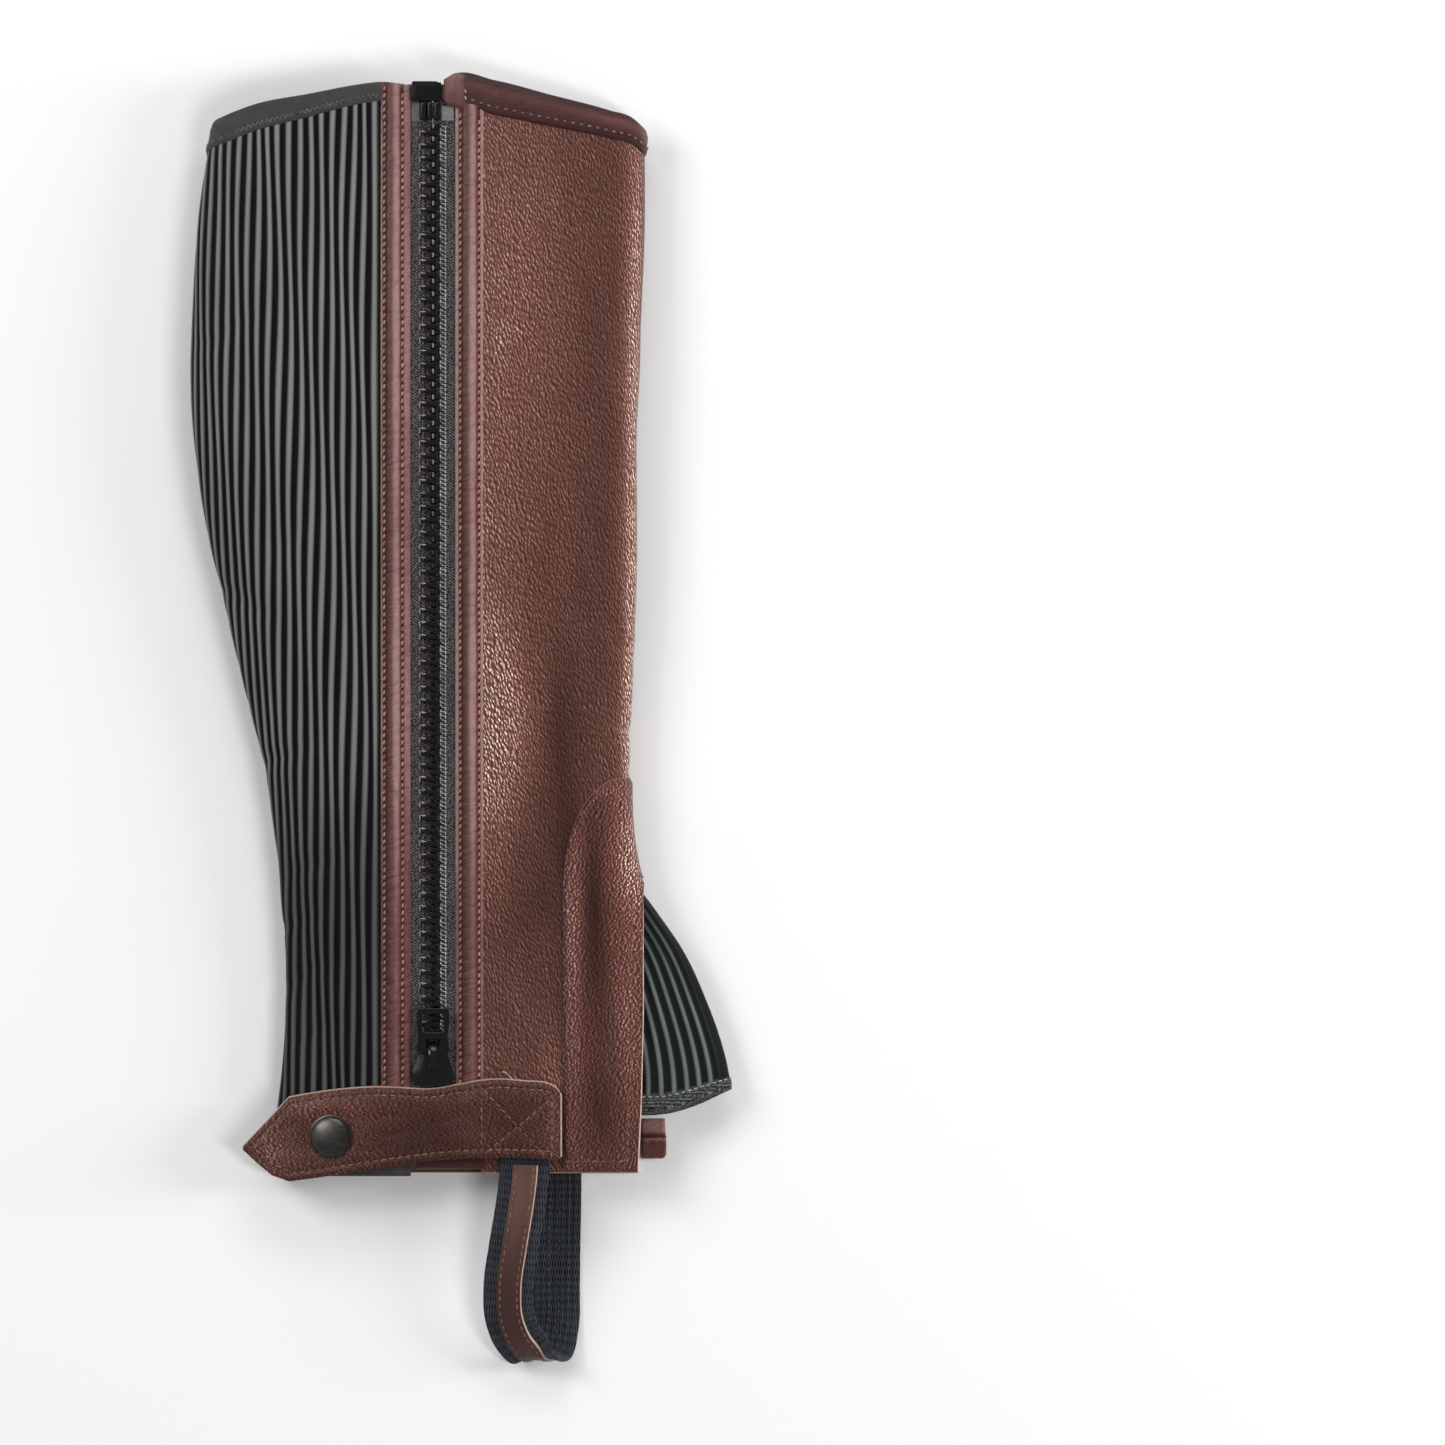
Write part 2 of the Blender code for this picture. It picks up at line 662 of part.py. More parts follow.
def make_gusset():
    """Ribbed elastic folded round the instep, with its ribs side by side from the fold inwards."""
    count = 2 * GUSSET_RIBS * RIB_STEPS
    fractions = np.arange(count + 1) / count
    rises = np.linspace(0, 1, 9)
    ends = (GUSSET_HEM[0], GUSSET_TOP)

    def arc_of(fraction, height):
        pitch = np.interp(height, ends, GUSSET_PITCH)
        return fold_arc(height) + (2 * fraction - 1) * GUSSET_RIBS * pitch

    def hem(fraction):
        share = ease(abs(2 * fraction - 1), 0.0, GUSSET_EASE)
        return GUSSET_HEM[1] + (GUSSET_HEM[0] - GUSSET_HEM[1]) * share

    def binding(fraction):
        share = ease(abs(2 * fraction - 1), 0.0, GUSSET_EASE)
        return GUSSET_BINDING[1] + (GUSSET_BINDING[0] - GUSSET_BINDING[1]) * share

    def out_of(fraction, height):
        rib = RIB_PROFILE[int(round(fraction * count)) % RIB_STEPS]
        return GUSSET_OUT + GUSSET_RISE * rib

    outer = grid(fractions, rises, arc_of, lambda f: hem(f) + binding(f) + GAP, lambda f: GUSSET_TOP, out_of)
    inner = grid(fractions[::RIB_STEPS], rises, arc_of, lambda f: hem(f) + binding(f) + GAP,
                 lambda f: GUSSET_TOP, lambda f, h: GUSSET_OUT - ELASTIC)
    wall("gusset", outer, inner, "elastic")
    panel("gusset_binding", "black_braid", 23, 3, arc_of, hem, lambda f: hem(f) + binding(f),
          lambda f, h: GUSSET_OUT + GUSSET_BINDING_RISE[0], GUSSET_OUT - ELASTIC - GUSSET_BINDING_RISE[1])


def make_hem_tab():
    """The inner side's folded hem, which shows past the slit."""
    made = box("inner_hem_tab", TAB_ACROSS, TAB_HEIGHT, (0.0, TAB_THICK), "smooth_leather")
    bevel(made, 0.6, 2)


def strap_level(across):
    """Underside of the strap: it follows the tube, rises at its sewn base, and leaves the tube at the tip."""
    near = max(across, STRAP_LEAVES)
    level = top_level(near, STRAP_LEVEL_HEIGHT) + STRAP_LIFT
    level += STRAP_BASE_LIFT * ease(across, *STRAP_BASE)
    return level - STRAP_SLOPE * (near - across)


def make_strap():
    """The closure strap: two layers of leather with a pointed end, across the zip's foot."""
    places = column(STRAP, STRAP_COLUMNS, "across")
    low, high = column(STRAP, STRAP_COLUMNS, "lower"), column(STRAP, STRAP_COLUMNS, "upper")
    rises = np.linspace(0, 1, 6)
    outer = np.empty((len(rises), len(places), 3))
    for col, across in enumerate(places):
        for row, rise in enumerate(rises):
            height = low[col] + (high[col] - low[col]) * rise
            outer[row, col] = (across, height, strap_level(across) + STRAP_THICK)
    inner = outer - (0, 0, STRAP_THICK)
    wall("strap", outer, inner, "pebbled_leather")


def make_snap():
    """The snap's cap: a turned dome with a small rim, seated on the strap."""
    turns = np.linspace(0, math.pi / 2, 7)
    dome = SNAP_RISE - SNAP_RIM
    profile = [(SNAP_RADIUS * math.sin(turn), SNAP_RIM + dome * math.cos(turn)) for turn in turns]
    profile += [(SNAP_RADIUS, 0.0), (0.0, 0.0)]
    mesh = bpy.data.meshes.new("snap_cap")
    points = [(radius * MM, 0, rise * MM) for radius, rise in profile]
    mesh.from_pydata(points, [(k, k + 1) for k in range(len(points) - 1)], [])
    mesh.materials.append(material("gunmetal"))
    made = bpy.data.objects.new("snap_cap", mesh)
    turned = made.modifiers.new("turned", "SCREW")
    turned.steps = 32
    turned.render_steps = 32
    turned.use_merge_vertices = True
    turned.merge_threshold = 0.00001
    turned.use_smooth_shade = True
    ahead, behind = SNAP_AT[0] + SNAP_RADIUS / 2, SNAP_AT[0] - SNAP_RADIUS / 2
    slope = (strap_level(ahead) - strap_level(behind)) / SNAP_RADIUS
    lift = strap_level(SNAP_AT[0]) + STRAP_THICK + SNAP_GAP
    made.matrix_world = Matrix.Translation(Vector((SNAP_AT[0], SNAP_AT[1], lift)) * MM) @ Matrix.Rotation(
        -math.atan(slope), 4, "Y")
    chap.objects.link(made)


def make_slider():
    """The slider's body with the crown that holds the pull tab, and the tab on its own axis."""
    level = top_level(0.0, SLIDER_HEIGHT[1]) + SLIDER_SEAT
    low, high = SLIDER_HEIGHT
    heights = (low, *(low + rise for rise in SLIDER_SHOULDERS), high)
    right = [(half, height) for half, height in zip(SLIDER_HALF, heights)]
    outline = right + [(-half, height) for half, height in reversed(right)]
    body = prism("zip_slider", outline, level, level + SLIDER_RISE, "moulded_black")
    roof = level + SLIDER_RISE
    crown = box("crown", (-CROWN_HALF, CROWN_HALF), CROWN_SPAN,
                (roof - CROWN_ROOT, roof + CROWN_RISE), None, cutters)
    hole = box("crown_hole", (-CROWN_HALF - 2, CROWN_HALF + 2), CROWN_HOLE,
               (roof + CROWN_HOLE_RISE[0], roof + CROWN_HOLE_RISE[1]), None, cutters)
    bevel(crown, 0.9, 2)
    boolean(body, as_cutter(crown), "UNION")
    boolean(body, as_cutter(hole), "DIFFERENCE")

    pull = box("pull_tab", (-PULL_HALF, PULL_HALF), (-PULL_TAIL, PULL_LENGTH),
               (-PULL_THICK / 2, PULL_THICK / 2), "moulded_black")
    slot = box("pull_slot", (-PULL_SLOT_HALF, PULL_SLOT_HALF), PULL_SLOT,
               (-PULL_THICK, PULL_THICK), None, cutters)
    window = box("pull_window", (-PULL_WINDOW_HALF, PULL_WINDOW_HALF), PULL_WINDOW,
                 (-PULL_THICK, PULL_THICK), None, cutters)
    for tool in (slot, window):
        tool.parent = pull
        boolean(pull, as_cutter(tool), "DIFFERENCE")
    bevel(pull, 0.35, 2)
    pull.location = Vector((0.0, PULL_AXIS, roof + PULL_RISE)) * MM


def loop_path():
    """Points, width directions and normals along the foot loop."""
    rows = np.stack([column(LOOP, LOOP_COLUMNS, name) for name in LOOP_COLUMNS], 1)
    run = np.concatenate([[0], np.cumsum(np.linalg.norm(np.diff(rows, axis=0), axis=1))])
    at = np.linspace(0, run[-1], LOOP_STEPS)
    points = np.array([[smooth_read(run, line, place) for line in rows.T] for place in at])
    along = np.gradient(points, axis=0)
    along /= np.linalg.norm(along, axis=1)[:, None]
    wide = np.array((1.0, 0.0, 0.0)) - along[:, :1] * along
    wide /= np.linalg.norm(wide, axis=1)[:, None]
    up = np.cross(wide, along)
    lowest = points[:, 2] - LOOP_HALF * abs(wide[:, 2]) - LOOP_THICK / 2 * abs(up[:, 2])
    points[:, 2] += np.maximum(LOOP_CLEAR - lowest, 0)
    return points, wide, up


def make_foot_loop():
    """Elastic that passes under the foot, with a leather strip sewn on its outer leg."""
    points, wide, up = loop_path()
    sides = np.array((-LOOP_HALF, -STRIP_HALF, 0.0, STRIP_HALF, LOOP_HALF))
    flat = points[:, None] + sides[None, :, None] * wide[:, None]
    wall("foot_loop", flat - up[:, None] * LOOP_THICK / 2, flat + up[:, None] * LOOP_THICK / 2, "elastic")
    first, last = [int(round(end * (LOOP_STEPS - 1))) for end in STRIP_ENDS]
    run = slice(first, last + 1)
    flat = flat[run, 1:-1]
    lift = LOOP_THICK / 2 + STRIP_GAP
    wall("loop_strip", flat - up[run, None] * (lift + STRIP_THICK), flat - up[run, None] * lift,
         "pebbled_leather")


slit_places = column(SLIT, SLIT_COLUMNS, "height")
slit_outline = [(slit(height), height) for height in slit_places]
slit_outline += [(SLIT_CUT_ACROSS, slit_places[-1]), (SLIT_CUT_ACROSS, slit_places[0])]
slit_cutter = as_cutter(prism("slit_cutter", slit_outline, *SLIT_CUT_LEVELS, group=cutters))

seam_heights = np.linspace(*SEAM_CUT_HEIGHTS, SEAM_CUT_POINTS)
seam_outline = [(under_seam(height) - UNDER_SEAM_GAP, height) for height in seam_heights]
seam_outline += [(SEAM_CUT_ACROSS, seam_heights[-1]), (SEAM_CUT_ACROSS, seam_heights[0])]
seam_cutter = as_cutter(prism("seam_cutter", seam_outline, *SEAM_CUT_LEVELS, group=cutters))

make_leather_panel()
make_lower_patch()
make_elastic_panel()
make_zip_bands()
make_zip()
make_top_binding()
make_hem_piece()
make_gusset()
make_hem_tab()
make_strap()
make_snap()
make_slider()
make_foot_loop()

# The part's origin is the middle of its footprint, on the surface that it lies on.
bpy.context.view_layer.update()
depsgraph = bpy.context.evaluated_depsgraph_get()
corners = []
for made in chap.objects:
    shown = made.evaluated_get(depsgraph)
    corners += [shown.matrix_world @ Vector(corner) for corner in shown.bound_box]
corners = np.array(corners)
middle = (corners.min(axis=0) + corners.max(axis=0)) / 2
shift = Vector((-middle[0], -middle[1], 0.0))
for made in list(chap.objects) + list(cutters.objects):
    if made.parent is None:
        made.location += shift
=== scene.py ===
import math

import bpy
import numpy as np
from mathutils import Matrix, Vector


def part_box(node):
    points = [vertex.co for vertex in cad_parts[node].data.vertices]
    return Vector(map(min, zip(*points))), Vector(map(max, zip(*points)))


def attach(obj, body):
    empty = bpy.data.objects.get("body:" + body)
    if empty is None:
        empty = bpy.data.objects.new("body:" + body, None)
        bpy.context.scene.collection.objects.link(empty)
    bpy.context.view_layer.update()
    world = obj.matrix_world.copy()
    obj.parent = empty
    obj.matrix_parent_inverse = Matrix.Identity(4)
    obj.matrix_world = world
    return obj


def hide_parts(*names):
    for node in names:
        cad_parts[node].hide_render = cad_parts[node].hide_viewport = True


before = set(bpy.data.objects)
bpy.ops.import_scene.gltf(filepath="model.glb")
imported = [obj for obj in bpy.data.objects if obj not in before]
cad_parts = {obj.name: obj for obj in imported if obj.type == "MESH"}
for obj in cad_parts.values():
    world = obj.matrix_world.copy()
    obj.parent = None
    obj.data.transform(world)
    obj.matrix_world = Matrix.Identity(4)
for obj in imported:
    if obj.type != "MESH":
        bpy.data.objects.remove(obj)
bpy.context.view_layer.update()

# A half chap, lying zipped on its inner side. Everything is laid out in millimetres on the garment and then placed:
# across runs from the zip's centre line towards the shin, height runs up the leg from the leather hem,
# and out is the distance outwards from the flattened tube's surface.
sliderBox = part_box("zip_slider")
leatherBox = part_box("leather_panel")
zipLine = (sliderBox[0][0] + sliderBox[1][0]) / 2
hemLine = leatherBox[0][1]


def place(points):
    # garment millimetres to the part's metres
    return np.asarray(points, float) * 0.001 + (zipLine, hemLine, 0.0)


def ease(value, low, high):
    # soft step: 0 at low, 1 at high, with level ends
    part = np.clip((np.asarray(value, float) - low) / (high - low), 0, 1)
    return part * part * (3 - 2 * part)


def bump(value, centre, width):
    # a soft ridge of height 1, the bell exp(-(d / width)^2)
    return np.exp(-((np.asarray(value, float) - centre) / width) ** 2)


def smoothRead(places, values, at):
    # a cubic through the table's points, with the slope of the neighbours at each point
    places, values, at = (np.asarray(x, float) for x in (places, values, at))
    slopes = np.gradient(values, places)
    k = np.clip(np.searchsorted(places, at) - 1, 0, len(places) - 2)
    span = places[k + 1] - places[k]
    part = np.clip((at - places[k]) / span, 0, 1)
    keep = (1 + 2 * part) * (1 - part) ** 2 * values[k] + part * (1 - part) ** 2 * span * slopes[k]
    return keep + part ** 2 * (3 - 2 * part) * values[k + 1] + part ** 2 * (part - 1) * span * slopes[k + 1]


def readRows(rows, at, which=1):
    # the same through a table's rows: its first column gives the places, and which the values
    rows = np.array(rows, float)
    return smoothRead(rows[:, 0], rows[:, which], at)


def unit(vectors):
    # the same directions with length 1
    return vectors / np.linalg.norm(vectors, axis=-1, keepdims=True)


def runOf(points):
    # how far along a line of points each of them lies
    return np.concatenate([[0], np.cumsum(np.linalg.norm(np.diff(points, axis=0), axis=1))])


# the tube that every panel lies on
tube = {
    "rows": [  # height, calf fold, shin fold, loft
        (-15, -62.5, 118.5, 23), (15, -61, 118.5, 24), (40, -58, 116, 24.5), (66, -56.6, 107.6, 25),
        (86, -56.6, 98.4, 26), (101, -57.6, 88, 27), (111, -58.4, 80.8, 27.5), (124, -59.8, 77.3, 28),
        (155, -64.6, 75.6, 30), (186, -72.3, 76.8, 32), (216, -79.4, 78.1, 34), (247, -86.6, 78.5, 36),
        (278, -91.4, 78.2, 37), (309, -93, 79.6, 37), (340, -91.8, 80.5, 36), (370, -89.8, 81.5, 34),
        (393, -86.4, 81.3, 32), (425, -79, 80.6, 29)],
    "foldLevel": 0.42,  # level of the folds, as a share of the loft
    "foldReach": 0.55,
    "crownAcross": 0.62,
    "steps": 260,
    "backSteps": np.arange(0, 10.5, 0.02),  # square roots of the distance back from the shin fold
}
heights = np.arange(-16.0, 427.0, 1.0)
arcs = np.arange(-290.0, 290.1, 0.4)
calfFold, shinFold, loft = (readRows(tube["rows"], heights, k) for k in (1, 2, 3))


def ringAt(calf, shin, high):
    # one section: a flat underside, a quarter ellipse up to the fold, and a flattened crown
    # x = middle - half |cos|^0.62 and z = fold + (loft - fold) sin, mirrored about the middle
    middle, half, fold, reach = (calf + shin) / 2, (shin - calf) / 2, tube["foldLevel"] * high, tube["foldReach"] * high
    flat = np.linspace(shin - reach, calf + reach, tube["steps"])
    turn = np.linspace(0, math.pi / 2, tube["steps"])[1:]
    under = np.stack([calf + reach - reach * np.sin(turn), fold - fold * np.cos(turn)], 1)
    over = math.pi - turn
    crown = np.stack([middle - half * np.abs(np.cos(over)) ** tube["crownAcross"],
                      fold + (high - fold) * np.sin(over)], 1)
    left = np.concatenate([np.stack([flat, 0 * flat], 1), under, crown])
    line = np.concatenate([left, left[::-1][1:] * (-1, 1) + (2 * middle, 0)])
    run = runOf(line)
    top = slice(len(flat) + len(under), len(line) - len(flat) - len(under))
    run -= np.interp(0, line[top, 0], run[top])
    widest = int(np.argmax(line[:, 0]))
    upper = slice(widest - len(line) // 3, widest + 1)
    back = shin - tube["backSteps"] ** 2
    return (np.interp(arcs, run, line[:, 0]), np.interp(arcs, run, line[:, 1]), run[widest],
            run[len(flat) - 1], run[len(line) - len(flat)], np.interp(back, line[upper, 0], run[upper]),
            np.interp(-back, -line[widest:, 0], run[widest:]))


sections = [ringAt(*row) for row in zip(calfFold, shinFold, loft)]
tubeX, tubeZ, foldArcs, flatCalf, flatShin, backAbove, backBelow = (np.array(column) for column in zip(*sections))
slopeX, slopeZ = np.gradient(tubeX, axis=1), np.gradient(tubeZ, axis=1)
for axis in (slopeX, slopeZ):  # a little smoothing keeps highlights clean
    axis[:, 2:-2] = (axis[:, :-4] + axis[:, 1:-3] + axis[:, 2:-2] + axis[:, 3:-1] + axis[:, 4:]) / 5
slopeLength = np.maximum(np.hypot(slopeX, slopeZ), 1e-6)
normalX, normalZ = -slopeZ / slopeLength, slopeX / slopeLength


def readTable(steps, at, height, *tables):
    # reads tables of the tube between their grid points, linear both ways
    at, height = np.broadcast_arrays(np.asarray(at, float), np.asarray(height, float))
    row = np.clip(height - heights[0], 0, len(heights) - 1.001)
    col = np.clip((at - steps[0]) / (steps[1] - steps[0]), 0, len(steps) - 1.001)
    r, c = row.astype(int), col.astype(int)
    u, v = row - r, col - c
    return [(t[r, c] * (1 - v) + t[r, c + 1] * v) * (1 - u) + (t[r + 1, c] * (1 - v) + t[r + 1, c + 1] * v) * u
            for t in tables]


def readTube(arc, height, *tables):
    # the same for tables over arc length
    return readTable(arcs, arc, height, *tables)


def surfacePoint(arc, height, out=0.0):
    # a point on the tube, moved out along the section's normal
    x, z, nx, nz = readTube(arc, height, tubeX, tubeZ, normalX, normalZ)
    return np.stack([x + out * nx, np.broadcast_to(height, x.shape), z + out * nz], -1)


def surfaceNormal(arc, height):
    # the section's normal there, of length 1
    nx, nz = readTube(arc, height, normalX, normalZ)
    return unit(np.stack([nx, 0 * nx, nz], -1))


def levelOf(arc, height):
    # how high above the table the tube's surface is
    return readTube(arc, height, tubeZ)[0]


def lifted(arc, height, full=5.0):
    # 0 where the tube lies on the table, easing to 1 at the full level, so that nothing is pushed into the table
    return ease(levelOf(arc, height), 0.6, full)


def atHeight(values, height):
    # a value of the sections, linear between them
    return np.interp(height, heights, values)


def arcWhere(across, height, side):
    # arc length where the tube passes an across position, above (side 1) or below (side -1) the shin fold,
    # read by the square root of the distance back from the fold, because the arc length runs evenly with it
    back = np.sqrt(np.maximum(atHeight(shinFold, height) - across, 0))
    return readTable(tube["backSteps"], back, height, backAbove if side > 0 else backBelow)[0]


def topArc(across, height):
    # arc length over an across position on the upper side, by stepping along the slope
    arc = np.array(np.broadcast_arrays(np.asarray(across, float), np.asarray(height, float))[0], float)
    for _ in range(8):
        arc = arc + (across - readTube(arc, height, tubeX)[0])
    return arc


def topLevel(across, height):
    # how high the upper side is over a point of the table
    return levelOf(topArc(across, height), height)


seam = {"inset": 25.0, "gap": 0.03}


def underSeam(height, side):
    # arc length of the seam between elastic and leather on the flat underside, from the calf (-1) or the shin (1)
    calf, shin, high = (atHeight(v, height) for v in (calfFold, shinFold, loft))
    reach = tube["foldReach"] * high
    if side < 0:
        return atHeight(flatCalf, height) - (seam["inset"] - 2 * seam["gap"])
    return atHeight(flatShin, height) + (shin - reach) - (calf + reach + seam["inset"])


rimLine = {
    "points": [(-92, 401), (-81, 406.4), (-70, 410.6), (-49, 414.7), (-22, 419.3), (3, 419.6), (8, 422.4),
               (24, 420), (46, 414.3), (68, 408.6), (77, 405.6), (82, 401)],
    "inner": 399.0,
    "level": 405.0,
    "ease": (2.0, 0.52),  # level where the turn to the inner line begins, and the share of the loft where it ends
}
topBinding = {
    "start": 4.2, "out": 0.9, "inside": -2.4, "stitchUp": 3.1, "tuck": 1.5,
    "wide": [(4.2, 10.2), (8, 12.8), (16, 13.4), (53, 11.9), (85, 10.6), (110, 10.6)],  # arc and width
    "flapTop": [(3.8, 417.8), (5.0, 419.9), (8.0, 422.5), (12.7, 422.0)],  # the folded end: arc and height
    "flapFoot": [(3.8, 412.9), (5.0, 410.9), (8.0, 409.6), (12.7, 408.6)],
    "flapSewn": (412.0, 417.4), "flapLift": 1.75,
    "puffs": [  # as creases, over arc and tenths of the binding's rise
        (66, 2, 60, 9, 2.2, 0.4), (80, 2, 86, 9, 2.4, 0.35), (40, 3, 36, 9, 2.2, 0.25), (26, 3, 24, 9, 1.6, -0.3)],
    "stitch": {"pitch": 3.3, "long": 1.5, "wide": 0.75, "high": 0.32, "slant": 0},
    "flapStitch": {"pitch": 2.4, "long": 1.7, "wide": 0.6, "high": 0.35, "slant": 20},
}


def rim(arc):
    # height of the top edge over an arc length: the drawn line above, easing to a straight line below
    x, z = readTube(arc, rimLine["level"], tubeX, tubeZ)
    outer = readRows(rimLine["points"], x)
    share = ease(z, rimLine["ease"][0], rimLine["ease"][1] * atHeight(loft, rimLine["level"]))
    return rimLine["inner"] + (outer - rimLine["inner"]) * share


def underTopBinding(arc):
    # height of the leather binding's lower edge
    return rim(arc) - readRows(topBinding["wide"], arc)


slitLine = np.array([(-12, 78.6), (0, 78.9), (28, 80.2), (62, 81), (98, 80.8), (113, 80.4), (420, 80.4)], float)
slitTop = 113.0


def slitAcross(height):
    # the slit's line through its table, kept just inside the shin fold
    return np.minimum(np.interp(height, slitLine[:, 0], slitLine[:, 1]), atHeight(shinFold, height) - 0.4)


def creases(arc, height, rows):
    # soft uneven troughs and ridges: each row is arc, height of both ends, width and depth (negative sinks)
    out = np.zeros(np.broadcast(arc, height).shape)
    for a, h, b, k, width, depth in rows:
        run, rise = b - a, k - h
        part = ((arc - a) * run + (height - h) * rise) / (run * run + rise * rise)
        near = np.clip(part, 0, 1)
        # a slight bend keeps the trough from being ruled
        bend = width * 0.5 * np.sin(near * 7 + a)
        away = ((arc - a) * rise - (height - h) * run) / math.hypot(run, rise) + bend
        past = (part - near) * math.hypot(run, rise)
        fade = np.sin(math.pi * np.clip(part, 0.02, 0.98)) ** 0.6
        out += depth * fade * np.exp(-(away / width) ** 2 - (past / width) ** 2)
    return out


def patches(arc, height, rows):
    # soft ovals of painted light and shade: each row is arc, height, both half widths and the amount
    out = np.zeros(np.broadcast(arc, height).shape)
    for a, h, wide, tall, amount in rows:
        out += amount * np.exp(-((arc - a) / wide) ** 2 - ((height - h) / tall) ** 2)
    return out


def ripple(arc, height, size, reach, seed=0.0):
    # a slow unevenness, three crossing sines of about that reach
    return size * (np.sin(arc / reach + seed) * np.sin(height / (reach * 1.7) + 1.3 * seed)
                   + 0.6 * np.sin(arc / (reach * 0.57) + height / (reach * 1.1) + 2.1 * seed)
                   + 0.4 * np.sin(height / (reach * 0.43) - arc / (reach * 2.3) + 0.7 * seed)) / 2


print("tube laid out:", len(sections), "sections")


# meshes from grids
def makeObject(name, points, faces, uv, finishes, slots=None, attributes=None, sharp=40):
    # points in garment millimetres, faces as rows of indices (3 or 4), uv in metres for each point
    mesh = bpy.data.meshes.new(name)
    points = place(points)
    mesh.vertices.add(len(points))
    mesh.vertices.foreach_set("co", points.astype(np.float32).ravel())
    counts = np.concatenate([np.full(len(f), f.shape[1]) for f in faces])
    corners = np.concatenate([f.ravel() for f in faces]).astype(np.int32)
    starts = np.concatenate([[0], np.cumsum(counts)[:-1]]).astype(np.int32)
    mesh.loops.add(len(corners))
    mesh.loops.foreach_set("vertex_index", corners)
    mesh.polygons.add(len(counts))
    mesh.polygons.foreach_set("loop_start", starts)
    mesh.polygons.foreach_set("loop_total", counts.astype(np.int32))
    if slots is not None:
        mesh.polygons.foreach_set("material_index", slots.astype(np.int32))
    for finish in finishes:
        mesh.materials.append(finish)
    mesh.update(calc_edges=True)
    layer = mesh.uv_layers.new(name="garment")
    layer.data.foreach_set("uv", np.asarray(uv, np.float32)[corners].ravel())
    for key, values in (attributes or {}).items():
        mesh.attributes.new(key, "FLOAT", "POINT").data.foreach_set("value", np.asarray(values, np.float32).ravel())
    mesh.shade_smooth()
    mesh.set_sharp_from_angle(angle=math.radians(sharp))
    made = bpy.data.objects.new(name, mesh)
    bpy.context.scene.collection.objects.link(made)
    return made


def facesOut(points, faces):
    # turns all faces round if the closed mesh has a negative volume
    volume = 0.0
    for f in faces:
        a, b, c = points[f[:, 0]], points[f[:, 1]], points[f[:, 2]]
        volume += np.einsum("ij,ij->", a, np.cross(b, c))
        if f.shape[1] == 4:
            volume += np.einsum("ij,ij->", a, np.cross(c, points[f[:, 3]]))
    return [f[:, ::-1] for f in faces] if volume < 0 else faces


def shellMesh(name, outer, inner, uv, finishes, keep=None, attributes=None, sharp=50):
    # a wall between two grids of points, closed round every free edge
    # finishes are for the outside, the inside and the cut edge, or one for all
    rows, cols = outer.shape[:2]
    count = rows * cols
    index = np.arange(count).reshape(rows, cols)
    quads = np.stack([index[:-1, :-1], index[:-1, 1:], index[1:, 1:], index[1:, :-1]], -1)
    keep = np.ones((rows - 1, cols - 1), bool) if keep is None else keep
    around = np.pad(keep, 1)
    walls = []
    for down, right, i, j in ((-1, 0, 0, 1), (0, 1, 1, 2), (1, 0, 2, 3), (0, -1, 3, 0)):
        free = keep & ~around[1 + down:rows + down, 1 + right:cols + right]
        edge = quads[free]
        walls.append(np.stack([edge[:, j], edge[:, i], edge[:, i] + count, edge[:, j] + count], 1))
    walls = np.concatenate(walls)
    faces = np.concatenate([quads[keep], quads[keep][:, ::-1] + count, walls])
    slots = np.repeat([0, 1, 2], [keep.sum(), keep.sum(), len(walls)])
    points = np.concatenate([outer.reshape(-1, 3), inner.reshape(-1, 3)])
    uvs = np.concatenate([uv.reshape(-1, 2)] * 2) * 0.001
    used = np.zeros(2 * count, bool)
    used[faces] = True
    fresh = np.cumsum(used) - 1
    faces = facesOut(points[used], [fresh[faces]])
    extra = {key: np.concatenate([np.ravel(v), np.ravel(v)])[used] for key, v in (attributes or {}).items()}
    return makeObject(name, points[used], faces, uvs[used], (list(finishes) * 3)[:3], slots, extra, sharp)


def closeRings(rings, poles=None):
    # closed rings of points, one after another along a path, with a fan to a pole at both ends,
    # which is the middle of the last ring unless it is given
    index = np.arange(rings.shape[0] * rings.shape[1]).reshape(rings.shape[:2])
    after = np.roll(index, -1, axis=1)
    quads = np.stack([index[:-1], after[:-1], after[1:], index[1:]], -1).reshape(-1, 4)
    first, last = np.full_like(index[0], index.size), np.full_like(index[0], index.size + 1)
    fans = np.concatenate([np.stack([first, after[0], index[0]], 1), np.stack([last, index[-1], after[-1]], 1)])
    points = np.concatenate([rings.reshape(-1, 3), poles or [rings[0].mean(0), rings[-1].mean(0)]])
    return points, facesOut(points, [quads, fans])


def tubeMesh(name, rings, uv, finishes, attributes=None, sharp=50):
    # one closed stack of rings, whose poles take the mean of their ring's uv and attributes
    points, faces = closeRings(rings)
    uvs = np.concatenate([uv.reshape(-1, 2), uv[0].mean(0)[None], uv[-1].mean(0)[None]]) * 0.001
    extra = {k: np.concatenate([np.ravel(v), [np.mean(v[0])], [np.mean(v[-1])]]) for k, v in (attributes or {}).items()}
    return makeObject(name, points, faces, uvs, finishes, None, extra, sharp)


def joinMeshes(name, groups, finish, sharp=40, attributes=None):
    # several closed forms, each given as points and faces, in one mesh; its uv is the plan
    starts = np.cumsum([0] + [len(points) for points, faces in groups])
    points = np.concatenate([points for points, faces in groups])
    faces = [np.concatenate([faces[k] + start for (_, faces), start in zip(groups, starts)]) for k in (0, 1)]
    return makeObject(name, points, faces, points[:, :2] * 0.001, [finish], None, attributes, sharp)


